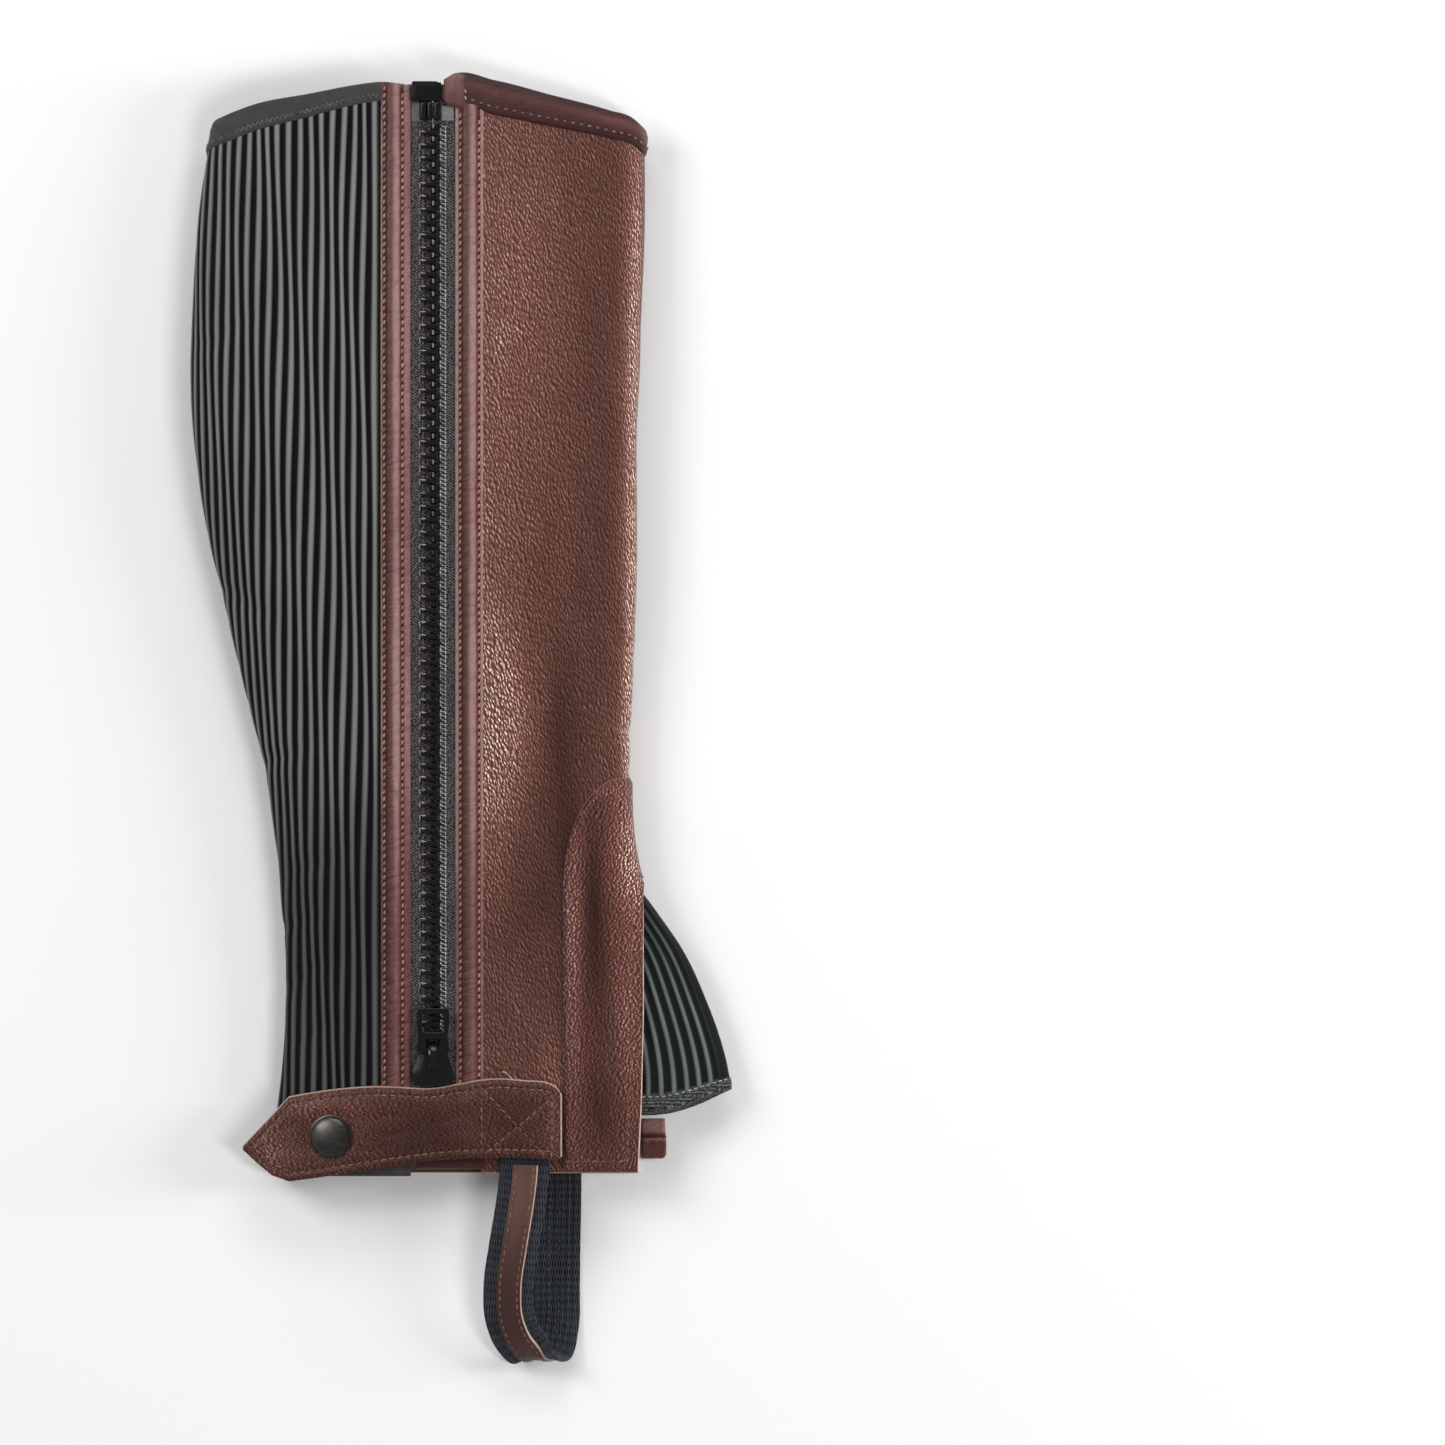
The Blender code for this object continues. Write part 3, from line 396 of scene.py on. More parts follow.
def scatter(form, origins, axes):
    # the same small form at many places: point = origin + form * axes, turned round if the axes are left-handed
    base, baseFaces = form
    points = (origins[:, None] + np.einsum("pk,nkj->npj", base, axes)).reshape(-1, 3)
    step = (np.arange(len(origins)) * len(base))[:, None, None]
    way = -1 if np.linalg.det(axes[0]) < 0 else 1
    return points, [(f[None] + step).reshape(-1, f.shape[1])[:, ::way] for f in baseFaces]


def squared(turn, across, up):
    # a circle's cosine and sine, each raised to its own power: the lower the power, the squarer that side
    c, s = np.cos(turn), np.sin(turn)
    return np.sign(c) * np.abs(c) ** across, np.sign(s) * np.abs(s) ** up


def beadForm(stations, sides=6):
    # a small closed form along x, from rows of position and radius, with a pole at both ends
    turn = np.arange(sides) * 2 * math.pi / sides
    rings = np.array([[(x, r * math.cos(t), r * math.sin(t)) for t in turn] for x, r in stations[1:-1]])
    return closeRings(rings, [(stations[0][0], 0, 0), (stations[-1][0], 0, 0)])


wanderStep = 2.4  # radians from one stitch to the next in the slow swing of their slant


def framesAlong(points, normals, pitch, slant=0.0, phase=0.5, wander=0.0):
    # places at an even pitch on a line, each with its run, side and up directions, turned by the slant
    run = runOf(points)
    at = np.arange(pitch * phase, run[-1], pitch)

    def read(line, where):
        return np.stack([np.interp(where, run, line[:, k]) for k in range(3)], 1)

    spots, up, ahead = read(points, at), read(normals, at), read(points, at + 0.5) - read(points, at - 0.5)
    ahead, up = unit(ahead - up * np.sum(ahead * up, 1, keepdims=True)), unit(up)
    side = np.cross(up, ahead)
    turn = math.radians(slant) + wander * np.sin(np.arange(len(at)) * wanderStep)[:, None]
    along = ahead * np.cos(turn) + side * np.sin(turn)
    return spots, np.stack([along, np.cross(up, along), up], 1)


stitchForm = beadForm([(-1, 0), (-0.86, 0.62), (-0.3, 1), (0.35, 1), (0.88, 0.6), (1, 0)])
needle = {"wider": 1.25, "longer": 0.5, "high": 0.16}  # a hole against its stitch
stitchRows = {}


def sewRow(thread, points, normals, pitch=3.3, long=2.5, wide=0.62, high=0.34, slant=8.0, phase=0.5, hole=None):
    # notes one row of stitches: each is a bead, half sunk in the line that it is sewn along,
    # and hole is the finish of the flat dark needle holes between them, painted shade for the holes
    spots, axes = framesAlong(points, normals, pitch, slant, phase, 0.06)
    axes = axes * np.array([long / 2, wide / 2, high])[None, :, None]
    stitchRows.setdefault(thread, []).append((spots, axes))
    if hole:
        sewRow(hole, points, normals, pitch, pitch - long + needle["longer"], wide * needle["wider"], needle["high"],
               slant * 2, phase + 0.5)


def sewOnTube(thread, arc, height, out, **kinds):
    # a row along a line of arc, height and distance out of the tube
    arc, height, out = np.broadcast_arrays(*(np.asarray(v, float) for v in (arc, height, out)))
    sewRow(thread, surfacePoint(arc, height, out), surfaceNormal(arc, height), **kinds)


# finishes
class Wire:
    # a socket with plus, minus and times, on either side of a number, each of which adds its Math node
    def __init__(self, finish, socket):
        self.finish, self.socket = finish, socket

    def maths(self, operation, *others, clamp=False):
        # any operation of the Math node, with this socket first
        return self.finish.node("ShaderNodeMath", {"operation": operation, "use_clamp": clamp},
                                dict(enumerate((self, *others))))

    def __add__(self, other):
        return self.maths("ADD", other)

    __radd__ = __add__

    def __mul__(self, other):
        return self.maths("MULTIPLY", other)

    __rmul__ = __mul__

    def __sub__(self, other):
        return self.maths("SUBTRACT", other)

    def __rsub__(self, other):
        return self.finish.node("ShaderNodeMath", {"operation": "SUBTRACT"}, {0: other, 1: self})

    def moved(self, by):
        # the vector plus another
        return self.finish.node("ShaderNodeVectorMath", {"operation": "ADD"}, {0: self, 1: by})

    def clamped(self):
        # held between 0 and 1
        return self.maths("ADD", 0.0, clamp=True)


def paint(red, green, blue):
    # a colour given as a picture shows it, 0 to 255, made linear
    line = [(c / 255 / 12.92 if c / 255 <= 0.04045 else ((c / 255 + 0.055) / 1.055) ** 2.4) for c in (red, green, blue)]
    return (*line, 1.0)


class Finish:
    # one material and the few node calls that its recipe needs
    def __init__(self, name, **fixed):
        self.material = bpy.data.materials.new(name)
        self.material.use_nodes = True
        self.tree = self.material.node_tree
        self.shader = self.tree.nodes["Principled BSDF"]
        for key, value in fixed.items():
            self.shader.inputs[key.replace("_", " ")].default_value = value

    def node(self, kind, settings, inputs, output=0):
        # one node: its settings, its inputs (a Wire is linked, anything else set) and the output that is read
        made = self.tree.nodes.new(kind)
        for key, value in settings.items():
            setattr(made, key, value)
        for key, value in inputs.items():
            if isinstance(value, Wire):
                self.tree.links.new(value.socket, made.inputs[key])
            else:
                made.inputs[key].default_value = value
        return Wire(self, made.outputs[output])

    def uv(self, across=1.0, along=1.0, turn=0.0, warp=0.0, warpSize=6.0):
        # the piece's own surface millimetres, shifted by a noise where it warps, turned, and scaled to one cell a unit
        spot = self.node("ShaderNodeUVMap", {"uv_map": "garment"}, {})
        if warp:
            drift = self.node("ShaderNodeTexNoise", {"noise_dimensions": "2D"},
                              {"Vector": self.scaled(spot, 1000 / warpSize), "Scale": 1.0, "Detail": 1.0}, 1)
            spot = self.node("ShaderNodeVectorMath", {"operation": "MULTIPLY_ADD"},
                             {0: drift, 1: (warp * 0.001,) * 3, 2: spot})
        spot = self.node("ShaderNodeMapping", {}, {"Vector": spot, "Rotation": (0, 0, math.radians(turn))})
        return self.node("ShaderNodeMapping", {}, {"Vector": spot, "Scale": (1000 / across, 1000 / along, 1.0)})

    def scaled(self, vector, size):
        # the vector times a size
        return self.node("ShaderNodeVectorMath", {"operation": "SCALE"}, {0: vector, "Scale": size})

    def solid(self, size=1.0):
        # the part's own space, one unit for each size millimetres
        spot = self.node("ShaderNodeTexCoord", {}, {}, "Object")
        return self.scaled(spot, 1000 / size)

    def noise(self, vector, detail=2.0, rough=0.5, flat=False):
        # smooth noise with one feature a unit, in the plane where it is flat
        return self.node("ShaderNodeTexNoise", {"noise_dimensions": "2D" if flat else "3D"},
                         {"Vector": vector, "Scale": 1.0, "Detail": detail, "Roughness": rough})

    def cells(self, vector, feature="DISTANCE_TO_EDGE", soft=None, output=0):
        # one random cell a unit: the distance to its edge or centre, or the cell's own colour
        inputs = {"Vector": vector, "Scale": 1.0}
        if soft is not None:
            inputs["Smoothness"] = soft
        return self.node("ShaderNodeTexVoronoi", {"voronoi_dimensions": "2D", "feature": feature}, inputs, output)

    def wave(self, vector, scale, way="X"):
        # a sine from 0 to 1 across the bands
        return self.node("ShaderNodeTexWave", {"bands_direction": way}, {"Vector": vector, "Scale": scale})

    def soft(self, value, low, high):
        # a soft step from 0 to 1 between two values
        return self.node("ShaderNodeMapRange", {"interpolation_type": "SMOOTHSTEP"}, {"Value": value, 1: low, 2: high})

    def mix(self, share, first, second):
        # first * (1 - share) + second * share
        return self.node("ShaderNodeMix", {"data_type": "RGBA"}, {0: share, 6: first, 7: second}, 2)

    def attribute(self, name):
        # a value that the mesh carries at its points
        return self.node("ShaderNodeAttribute", {"attribute_name": name}, {}, "Fac")

    def axis(self, vector, which):
        # one part of a vector or colour
        return self.node("ShaderNodeSeparateXYZ", {}, {"Vector": vector}, which)

    def relief(self, height, deep):
        # bump of that depth in millimetres
        return self.node("ShaderNodeBump", {}, {"Height": height, "Distance": deep * 0.001})

    def finish(self, colour, roughness=None, normal=None):
        # links what changes over the surface and gives the material
        for key, value in (("Base Color", colour), ("Roughness", roughness), ("Normal", normal)):
            if value is not None:
                self.tree.links.new(value.socket, self.shader.inputs[key])
        return self.material


def pebbledLeather(name, body, flankShade, pale, cell=(0.95, 2.0), turn=-15.0, deep=0.2, rough=0.3, shine=0.7):
    # long rounded grains: hump is the smoothed distance from the nearest centre. The flank towards the light gets a
    # painted highlight, the other one painted shade. 1 + tone, no more than 1.75, scales the whole, and a high tone
    # adds painted glints
    f = Finish(name, Specular_IOR_Level=0.22)
    spot = f.uv(*cell, turn=turn, warp=1.1, warpSize=4.0)
    hump = f.cells(spot, "SMOOTH_F1", soft=0.6)
    slope = f.cells(spot.moved((0.3, 0.06, 0.0)), "SMOOTH_F1", soft=0.6) - hump
    own = f.axis(f.cells(spot, "F1", output="Color"), 0)
    fine = f.noise(f.uv(0.3, 0.3), 2.0, flat=True)
    slow = f.noise(f.uv(8.0, 26.0, turn=-6), 3.0, flat=True)
    # the tone attribute is painted light and shade; the slow noise adds a real drift of tone
    tone = f.attribute("tone") + 0.3 * (slow - 0.5)
    # painted shade: the flank away from the light takes the dark flank colour
    colour = f.mix(f.soft(0.0 - slope, 0.0, 0.26) * 0.7, body, flankShade)
    # painted highlight on the flank towards the light, with painted glints where the tone is high
    lit = f.soft(slope, 0.06, 0.26) * (0.25 + 0.75 * own) * (0.5 + shine * tone)
    colour = f.mix(lit.clamped(), colour, f.mix(f.soft(tone, 0.3, 1.0), pale, glint))
    shade = (1.0 + tone).maths("MAXIMUM", 0.2).maths("MINIMUM", 1.75)
    return f.finish(f.scaled(colour, shade), rough + 0.2 * hump + 0.06 * fine, f.relief(1.0 - hump + 0.06 * fine, deep))


def smoothLeather(name, body, edge, paintedSheen, rough=0.34, deep=0.05, pucker=0.0):
    # fine pores, slanting puckers with painted shade in them, a slow drift of tone, and the panel's own crown
    # attribute, which lightens its middle with a painted highlight in the sheen colour and leaves low parts in the
    # painted shade of the edge colour
    f = Finish(name, Specular_IOR_Level=0.45, Coat_Weight=0.1, Coat_Roughness=0.25)
    crown = f.attribute("crown")
    pores = f.cells(f.uv(0.42, 0.55, warp=0.4, warpSize=2.0))
    drift = f.noise(f.uv(5.0, 16.0), 3.0, flat=True)
    rub = f.noise(f.uv(1.1, 2.6), 2.0, flat=True)
    # painted shade: the edge colour where the crown is low
    base = f.mix(f.soft(crown, 0.0, 0.6), edge, body)
    # painted highlight: the sheen colour where the crown is high
    base = f.mix(f.soft(crown + 0.3 * (drift - 0.5), 0.5, 1.05), base, paintedSheen)
    base = f.mix(f.soft(rub, 0.5, 0.8) * 0.28, base, edge)
    folds = f.noise(f.uv(9.0, 2.4, turn=-22, warp=1.5, warpSize=12.0), 2.0, flat=True)
    # painted shade: the sunk puckers take some of the edge colour
    base = f.mix(f.soft(folds, 0.5, 0.68) * (0.12 * pucker), base, edge)
    height = f.soft(pores, 0.0, 0.25) + 0.5 * rub - pucker * 5.0 * f.soft(folds, 0.42, 0.72)
    return f.finish(base, rough + 0.14 * rub, f.relief(height, deep))


def clothRibs(name, valley, crest, deepCrest, low=0.36, high=0.8):
    # knitted ribs: the crest attribute lightens their tops with a painted highlight over the valley colour, the
    # elastic's own black deepened as painted shade; the light attribute dims that highlight as painted shade, and rows
    # of fine loops cross them
    f = Finish(name, Specular_IOR_Level=0.12, Sheen_Weight=0.08, Sheen_Roughness=0.5)
    top = f.attribute("crest")
    light = f.attribute("light")
    loops = f.wave(f.uv(warp=0.25, warpSize=2.0), 0.55, "Y")
    knit = f.noise(f.uv(0.3, 0.9), 2.0, flat=True)
    slow = f.noise(f.uv(14.0, 55.0), 2.0, flat=True)
    # painted light: the crest's highlight, dimmed where the light attribute is low
    crestColour = f.mix(light, deepCrest, crest)
    face = f.soft(top + 0.2 * (slow - 0.5), low, high)
    # painted highlight on the crests, painted shade in the valleys
    colour = f.mix(face * (0.8 + 0.35 * knit).clamped(), valley, crestColour)
    return f.finish(colour, 0.62 + 0.2 * knit, f.relief(0.6 * loops + knit, 0.05))


onePerUnit = 0.31  # the Wave node's scale at which one band fills about one unit


def braid(name, body, light, pitch=0.9, turn=35.0, deep=0.07):
    # two crossing sets of threads, an over and under weave of that pitch
    f = Finish(name, Specular_IOR_Level=0.15, Sheen_Weight=0.1, Sheen_Roughness=0.5)
    one, two = (f.wave(f.uv(pitch, pitch, turn=way), onePerUnit) for way in (turn, -turn))
    fuzz = f.noise(f.uv(0.25, 0.25), 3.0, flat=True)
    weave = one.maths("MAXIMUM", two) * 0.7 + 0.5 * fuzz
    slow = f.noise(f.uv(9.0, 6.0), 2.0, flat=True)
    colour = f.mix((f.soft(weave, 0.35, 1.05) * (0.55 + 0.6 * slow)).clamped(), body, light)
    return f.finish(colour, 0.7 + 0.15 * fuzz, f.relief(weave, deep))


def twill(name, body, light, pitch=0.9, turn=-58.0):
    # slanting ridges of thread, broken into floats of uneven brightness
    f = Finish(name, Specular_IOR_Level=0.2, Sheen_Weight=0.05, Sheen_Roughness=0.5)
    spot = f.uv(pitch, pitch, turn=turn, warp=0.16, warpSize=2.5)
    ridge = f.wave(spot, onePerUnit)
    floats = f.noise(f.uv(0.5, 0.9, turn=turn), 1.0, flat=True)
    slow = f.noise(f.uv(3.0, 9.0), 2.0, flat=True)
    lit = (0.3 + f.soft(ridge, 0.3, 0.85)) * f.soft(floats, 0.3, 0.72) * (0.4 + 1.1 * slow)
    return f.finish(f.mix(lit.clamped(), body, light), 0.7 + 0.2 * floats, f.relief(ridge + 0.5 * floats, 0.12))


def cutEdge(name, body, dark, bare=None):
    # the split side of leather: pale, with loose fibres; the bare attribute shows where it was left undyed
    f = Finish(name, Specular_IOR_Level=0.25)
    fibre = f.noise(f.solid(0.35), 3.0, 0.6)
    stain = f.noise(f.solid(5.0), 2.0)
    body = f.mix(f.attribute("bare"), body, bare) if bare else body
    colour = f.mix(f.soft(fibre, 0.45, 0.75) * 0.5, f.mix(f.soft(stain, 0.45, 0.75) * 0.4, body, dark), dark)
    return f.finish(colour, 0.75 + 0.15 * fibre, f.relief(fibre, 0.12))


def sewingThread(name, body, shade):
    # a twisted thread, darker in its twist
    f = Finish(name, Specular_IOR_Level=0.4, Sheen_Weight=0.2)
    ply = f.wave(f.solid(0.5), 0.4, "DIAGONAL")
    tone = f.noise(f.solid(4.0), 2.0)
    colour = f.mix(f.soft(tone, 0.3, 0.7), body, shade)
    return f.finish(f.mix(ply * 0.35, colour, shade), 0.55 + 0.2 * ply, f.relief(ply, 0.05))


def mouldedPlastic(name, body, rough=0.22, scuff=0.12):
    # one colour, twice as light and less glossy where a noise has rubbed it
    f = Finish(name, Specular_IOR_Level=0.5)
    rub = f.noise(f.solid(1.6), 4.0, 0.65)
    fine = f.noise(f.solid(0.4), 2.0)
    colour = f.mix(f.soft(rub, 0.5, 0.85) * 0.5, body, tuple(c * 2.0 + 0.002 for c in body[:3]) + (1.0,))
    return f.finish(colour, rough + scuff * rub, f.relief(fine + rub, 0.03))


def glintedPlastic(name, body, rub):
    # one colour, and a painted glint of the second colour where the attribute that it reads passes a soft step
    f = Finish(name, Specular_IOR_Level=0.5)
    fine = f.noise(f.solid(0.5), 2.0)
    toothGlint = f.soft(f.attribute("toothGlint") + 0.3 * (fine - 0.5), 0.5, 0.95)
    return f.finish(f.mix(toothGlint, body, rub), 0.16 + 0.2 * fine, f.relief(fine, 0.03))


def darkMetal(name, body, rim):
    # plated metal, hazed by a noise towards the rim colour
    f = Finish(name, Metallic=1.0, Specular_IOR_Level=0.5)
    haze = f.noise(f.solid(2.2), 4.0, 0.6)
    brushed = f.noise(f.solid(0.35), 2.0)
    colour = f.mix(f.soft(haze, 0.4, 0.8) * 0.5, body, rim)
    return f.finish(colour, 0.3 + 0.16 * haze, f.relief(brushed, 0.01))


glint = paint(200, 184, 172)
# pebbled finishes: body, then the colours of each grain's painted shade and painted highlight
pebbled = pebbledLeather("pebbled_leather", paint(91, 56, 48), paint(50, 25, 20), paint(170, 138, 128))
pebbledPatch = pebbledLeather("pebbled_leather_patch", paint(86, 50, 43), paint(44, 20, 16), paint(168, 136, 126),
                              (1.1, 1.3), 20.0)
strapLeather = pebbledLeather("strap_leather", paint(77, 45, 38), paint(44, 22, 17), paint(140, 108, 97),
                              (1.5, 0.8), 12.0, 0.14)
# smooth finishes: body, an edge colour for painted shade and rubbed patches, and a sheen colour for painted highlights
stripLeather = smoothLeather("strip_leather", paint(80, 50, 44), paint(58, 33, 29), paint(108, 78, 70), 0.4, 0.08)
bandLeather = smoothLeather("band_leather", paint(102, 61, 58), paint(66, 31, 29), paint(158, 124, 119), pucker=1.0)
bindingLeather = smoothLeather("binding_leather", paint(88, 49, 47), paint(58, 26, 26), paint(118, 82, 79), 0.36,
                               pucker=0.6)
flapLeather = smoothLeather("flap_leather", paint(92, 58, 55), paint(58, 28, 27), paint(126, 94, 90), 0.42)
suede = cutEdge("flesh_side", paint(110, 76, 62), paint(78, 50, 40))
rawEdge = cutEdge("raw_edge", paint(196, 166, 152), paint(140, 104, 90))
patchEdge = cutEdge("patch_edge", paint(126, 90, 78), paint(72, 42, 34), paint(214, 186, 172))
# ribbed finishes: the valley colour, the crest's painted highlight, and that highlight dimmed
elasticRibs = clothRibs("elastic_ribs", paint(7, 7, 8), paint(136, 133, 134), paint(72, 73, 78), 0.38, 1.12)
gussetRibs = clothRibs("gusset_ribs", paint(20, 23, 25), paint(108, 114, 114), paint(42, 47, 50), 0.58, 1.1)
gussetBraid = twill("gusset_braid", paint(20, 22, 22), paint(112, 116, 112), 1.3, 90.0)
elasticInside = braid("elastic_inside", paint(16, 16, 17), paint(40, 40, 42), 1.1)
blackBraid = braid("black_braid", paint(24, 24, 24), paint(84, 83, 82), 0.8)
tapeWeave = twill("tape_weave", paint(30, 27, 27), paint(116, 110, 108))
chainThread = sewingThread("chain_thread", paint(190, 186, 184), paint(126, 122, 120))
loopElastic = braid("loop_elastic", paint(8, 9, 12), paint(66, 70, 78), 1.0, 10.0, 0.14)
bandThread = sewingThread("band_thread", paint(190, 148, 142), paint(140, 96, 92))
strapThread = sewingThread("strap_thread", paint(146, 117, 100), paint(96, 70, 57))
braidThread = sewingThread("braid_thread", paint(110, 106, 94), paint(64, 62, 56))
tapeThread = sewingThread("tape_thread", paint(100, 100, 98), paint(50, 50, 50))
# needle holes: flat dark marks of painted shade
needleHole = cutEdge("needle_hole", paint(76, 38, 37), paint(56, 26, 26))
bindingThread = sewingThread("binding_thread", paint(146, 104, 100), paint(104, 66, 64))
paleThread = sewingThread("pale_thread", paint(214, 192, 182), paint(180, 150, 140))
glossBlack = mouldedPlastic("moulded_black", paint(8, 8, 10), 0.14, 0.1)
# the teeth: black, with painted glints in near white
toothBlack = glintedPlastic("tooth_black", paint(8, 8, 9), paint(196, 190, 188))
film = mouldedPlastic("zip_film", paint(88, 87, 85), 0.3)
# a lighter copy of the same film, a painted reflection on the shin side's film
filmHighlit = mouldedPlastic("zip_film_bright", paint(112, 112, 112), 0.22)
gunmetal = darkMetal("gunmetal", paint(84, 81, 78), paint(116, 112, 108))
print("finishes mixed:", len(bpy.data.materials))


def dress(piece, body, slot, *nodes):
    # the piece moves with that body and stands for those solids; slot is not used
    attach(piece, body)
    if nodes:
        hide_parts(*nodes)
    return piece


def cloth(piece, slot, nodes, flat, area=None):
    # flat is the cut's width and length in millimetres, and area its true area where it isn't their product
    dress(piece, "chap", slot, *nodes)
    wide, long = max(flat[0], 10.0), max(flat[1], 10.0)  # the least side that can be stated is 10
    area = min(area or flat[0] * flat[1], wide * long)
    wide * 0.001
    long * 0.001
    area * 1e-6
    return piece


def flatGrid(arc, height):
    # the garment's own plan, which the patterns follow
    return np.stack(np.broadcast_arrays(arc, height), -1)


def gridUp(across, foot, top, count):
    # rows from foot to top, evenly spaced, over a line of across or arc positions
    return np.broadcast_arrays(across, foot + (top - foot) * np.linspace(0, 1, count)[:, None])


def between(stops, share):
    # share 0 to 1 runs from the first stop to the second, 1 to 2 on to the third, and so on
    k = np.clip(share.astype(int), 0, stops.shape[-1] - 2)
    return stops[..., k] + (stops[..., k + 1] - stops[..., k]) * (share - k)


def shares(*counts):
    # the shares for that many columns from each stop to the next
    return np.concatenate([[0.0], *(k + np.linspace(0, 1, count + 1)[1:] for k, count in enumerate(counts))])


def wall(name, arc, height, out, inner, finishes, keep=None, attributes=None, sharp=50):
    # a shell between two distances out of the tube
    return shellMesh(name, surfacePoint(arc, height, out), surfacePoint(arc, height, inner), flatGrid(arc, height),
                     finishes, keep, attributes, sharp)


# pebbled leather over the shin
leather = {
    "start": 18.3, "thick": 1.6, "columns": (60, 14, 40), "lowRows": 60, "highRows": 150, "topRead": 395.0,
    "rolled": 0.3, "edgeTurn": 0.35,  # how far the cut edges sink and lean
    "slack": (0.35, 15.0, 0.4),  # the unevenness: size, reach and seed
    "paintedLightAndShade": [  # painted light and shade: arc, height, half widths, amount
        (18, 290, 16, 150, 0.5), (22, 172, 13, 36, 1.15), (38, 340, 14, 60, 0.3), (50, 162, 7, 44, -0.45),
        (66, 262, 9, 160, -0.2), (56, 300, 12, 90, -0.05), (81, 250, 5, 150, 1.3), (81, 172, 6, 22, 1.3),
        (93, 230, 5, 170, -0.8), (40, 112, 16, 34, -0.3), (24, 60, 9, 44, -0.06), (26, 18, 14, 8, -0.3),
        (47, 34, 6, 16, 0.4), (24, 120, 6, 22, 0.2), (140, 150, 40, 60, -0.15), (130, 320, 40, 60, 0.05)],
    "creases": [
        (51, 245, 53, 95, 5.5, -1.0), (57, 300, 52, 200, 6, -0.45), (63, 230, 62, 110, 4.5, 0.7),
        (24, 196, 33, 150, 8, 0.9), (36, 190, 44, 130, 6, -0.6), (30, 140, 24, 96, 7, 0.45),
        (64, 213, 84, 196, 2.6, -0.7), (60, 199, 84, 206, 3.0, 0.5), (66, 178, 88, 164, 2.8, -0.6),
        (70, 150, 90, 158, 2.4, -0.5), (70, 330, 88, 322, 3.2, -0.35), (66, 262, 86, 250, 2.6, -0.4),
        (120, 330, 165, 250, 9, 0.5), (130, 210, 160, 120, 8, -0.4)],
}


def leatherOut(arc, height):
    # creases and a slow unevenness, which fade out where the piece lies on the table
    free = lifted(arc, height, 7.0)
    hold = ease(arc, leather["start"] + 1, leather["start"] + 6) * ease(height, 0, 10)
    return free * hold * (creases(arc, height, leather["creases"]) + ripple(arc, height, *leather["slack"]))


def makeLeatherPanel():
    # columns run from the zip over the front to the slit, round the fold and under the tube to the seam;
    # the cells of the fold are left out below the slit's top
    p = leather
    front, fold, under = p["columns"]
    share = shares(front, fold, under)

    def arcAt(height):
        up, down = (arcWhere(slitAcross(height), height, side) for side in (1, -1))
        return between(np.stack([np.full(height.shape, p["start"]), up, down, underSeam(height, 1)], -1), share)

    top = underTopBinding(arcAt(np.full(1, p["topRead"]))[0]) + topBinding["tuck"]
    height = np.concatenate([gridUp(share, 0, slitTop, p["lowRows"] + 1)[1],
                             gridUp(share, slitTop, top, p["highRows"] + 1)[1][1:]])
    arc = arcAt(height.mean(1))
    out = leatherOut(arc, height)
    row, col = np.arange(len(height))[:, None], np.arange(len(share))[None]
    keep = (row[:-1] >= p["lowRows"]) | (col[:, :-1] < front) | (col[:, :-1] >= front + fold)
    cut, hem = (row <= p["lowRows"]) & (col == front), (row == 0) & (col >= 0)
    rolled = p["rolled"] * (cut | hem) * ease(levelOf(arc, height), 1, 6)
    inner = surfacePoint(arc + p["edgeTurn"] * cut, height - p["edgeTurn"] * hem, np.minimum(out, 0) - p["thick"])
    # the tone attribute carries the painted light and shade
    made = shellMesh("leatherPanel", surfacePoint(arc, height, out - rolled), inner, flatGrid(arc, height),
                     [pebbled, suede, rawEdge], keep, {"tone": patches(arc, height, p["paintedLightAndShade"])})
    cloth(made, "pebbled_leather", ["leather_panel"], (205, 412), 71000)


makeLeatherPanel()
print("leather panel done")


# the second layer on the lower front
patch = {
    "start": 50.0, "shoulder": 109.0, "rise": 42.3, "corner": 0.6, "under": 0.5, "over": 1.7, "endLevel": 5.0,
    "columns": (24, 20, 12), "roundShare": 0.62, "lowRows": 60, "highRows": 26, "topRead": 132.0,
    "ridge": (4.0, 3.0, 0.95), "ridgeFades": (66, 80),  # distance in from the edge, width and height
    "hollow": (62.5, 3.6, -0.9), "hollowEnds": (12, 40, 120, 146), "edge": (0.75, 1.3), "slack": (0.28, 11.0, 2.2),
    "stitchIn": (4.6, 4.2), "seam": (0.3, 0.8), "stitch": {"pitch": 3.4, "long": 2.2, "wide": 0.5, "high": 0.26},
    # painted light and shade: arc, height, half widths, amount
    "paintedLightAndShade": [
        (53.5, 84, 3.4, 50, 0.6), (62, 104, 4.5, 36, -0.55), (64, 56, 7, 34, -0.2), (65, 22, 9, 15, -0.35),
        (74, 124, 6, 24, 0.5), (79, 118, 5, 28, 0.7), (75, 56, 6, 36, 0.5), (66, 146, 12, 5, 0.2),
        (93, 130, 6, 26, -0.7)],
}


def patchEnd(height):
    # where the lower quarter of the shin fold comes down to the end level
    high = atHeight(loft, height)
    fold = tube["foldLevel"] * high
    reach = tube["foldReach"] * high
    turn = np.arccos(np.clip(1 - patch["endLevel"] / fold, -1, 1))
    return arcWhere(atHeight(shinFold, height) - reach + reach * np.sin(turn), height, -1)


def patchTop(arc):
    # the upper corner is a quarter ellipse
    part = np.clip((arc - patch["start"]) / (patch["corner"] * (patchEnd(np.array([130.0]))[0] - patch["start"])), 0, 1)
    return patch["shoulder"] + patch["rise"] * np.sqrt(1 - (1 - part) ** 2)


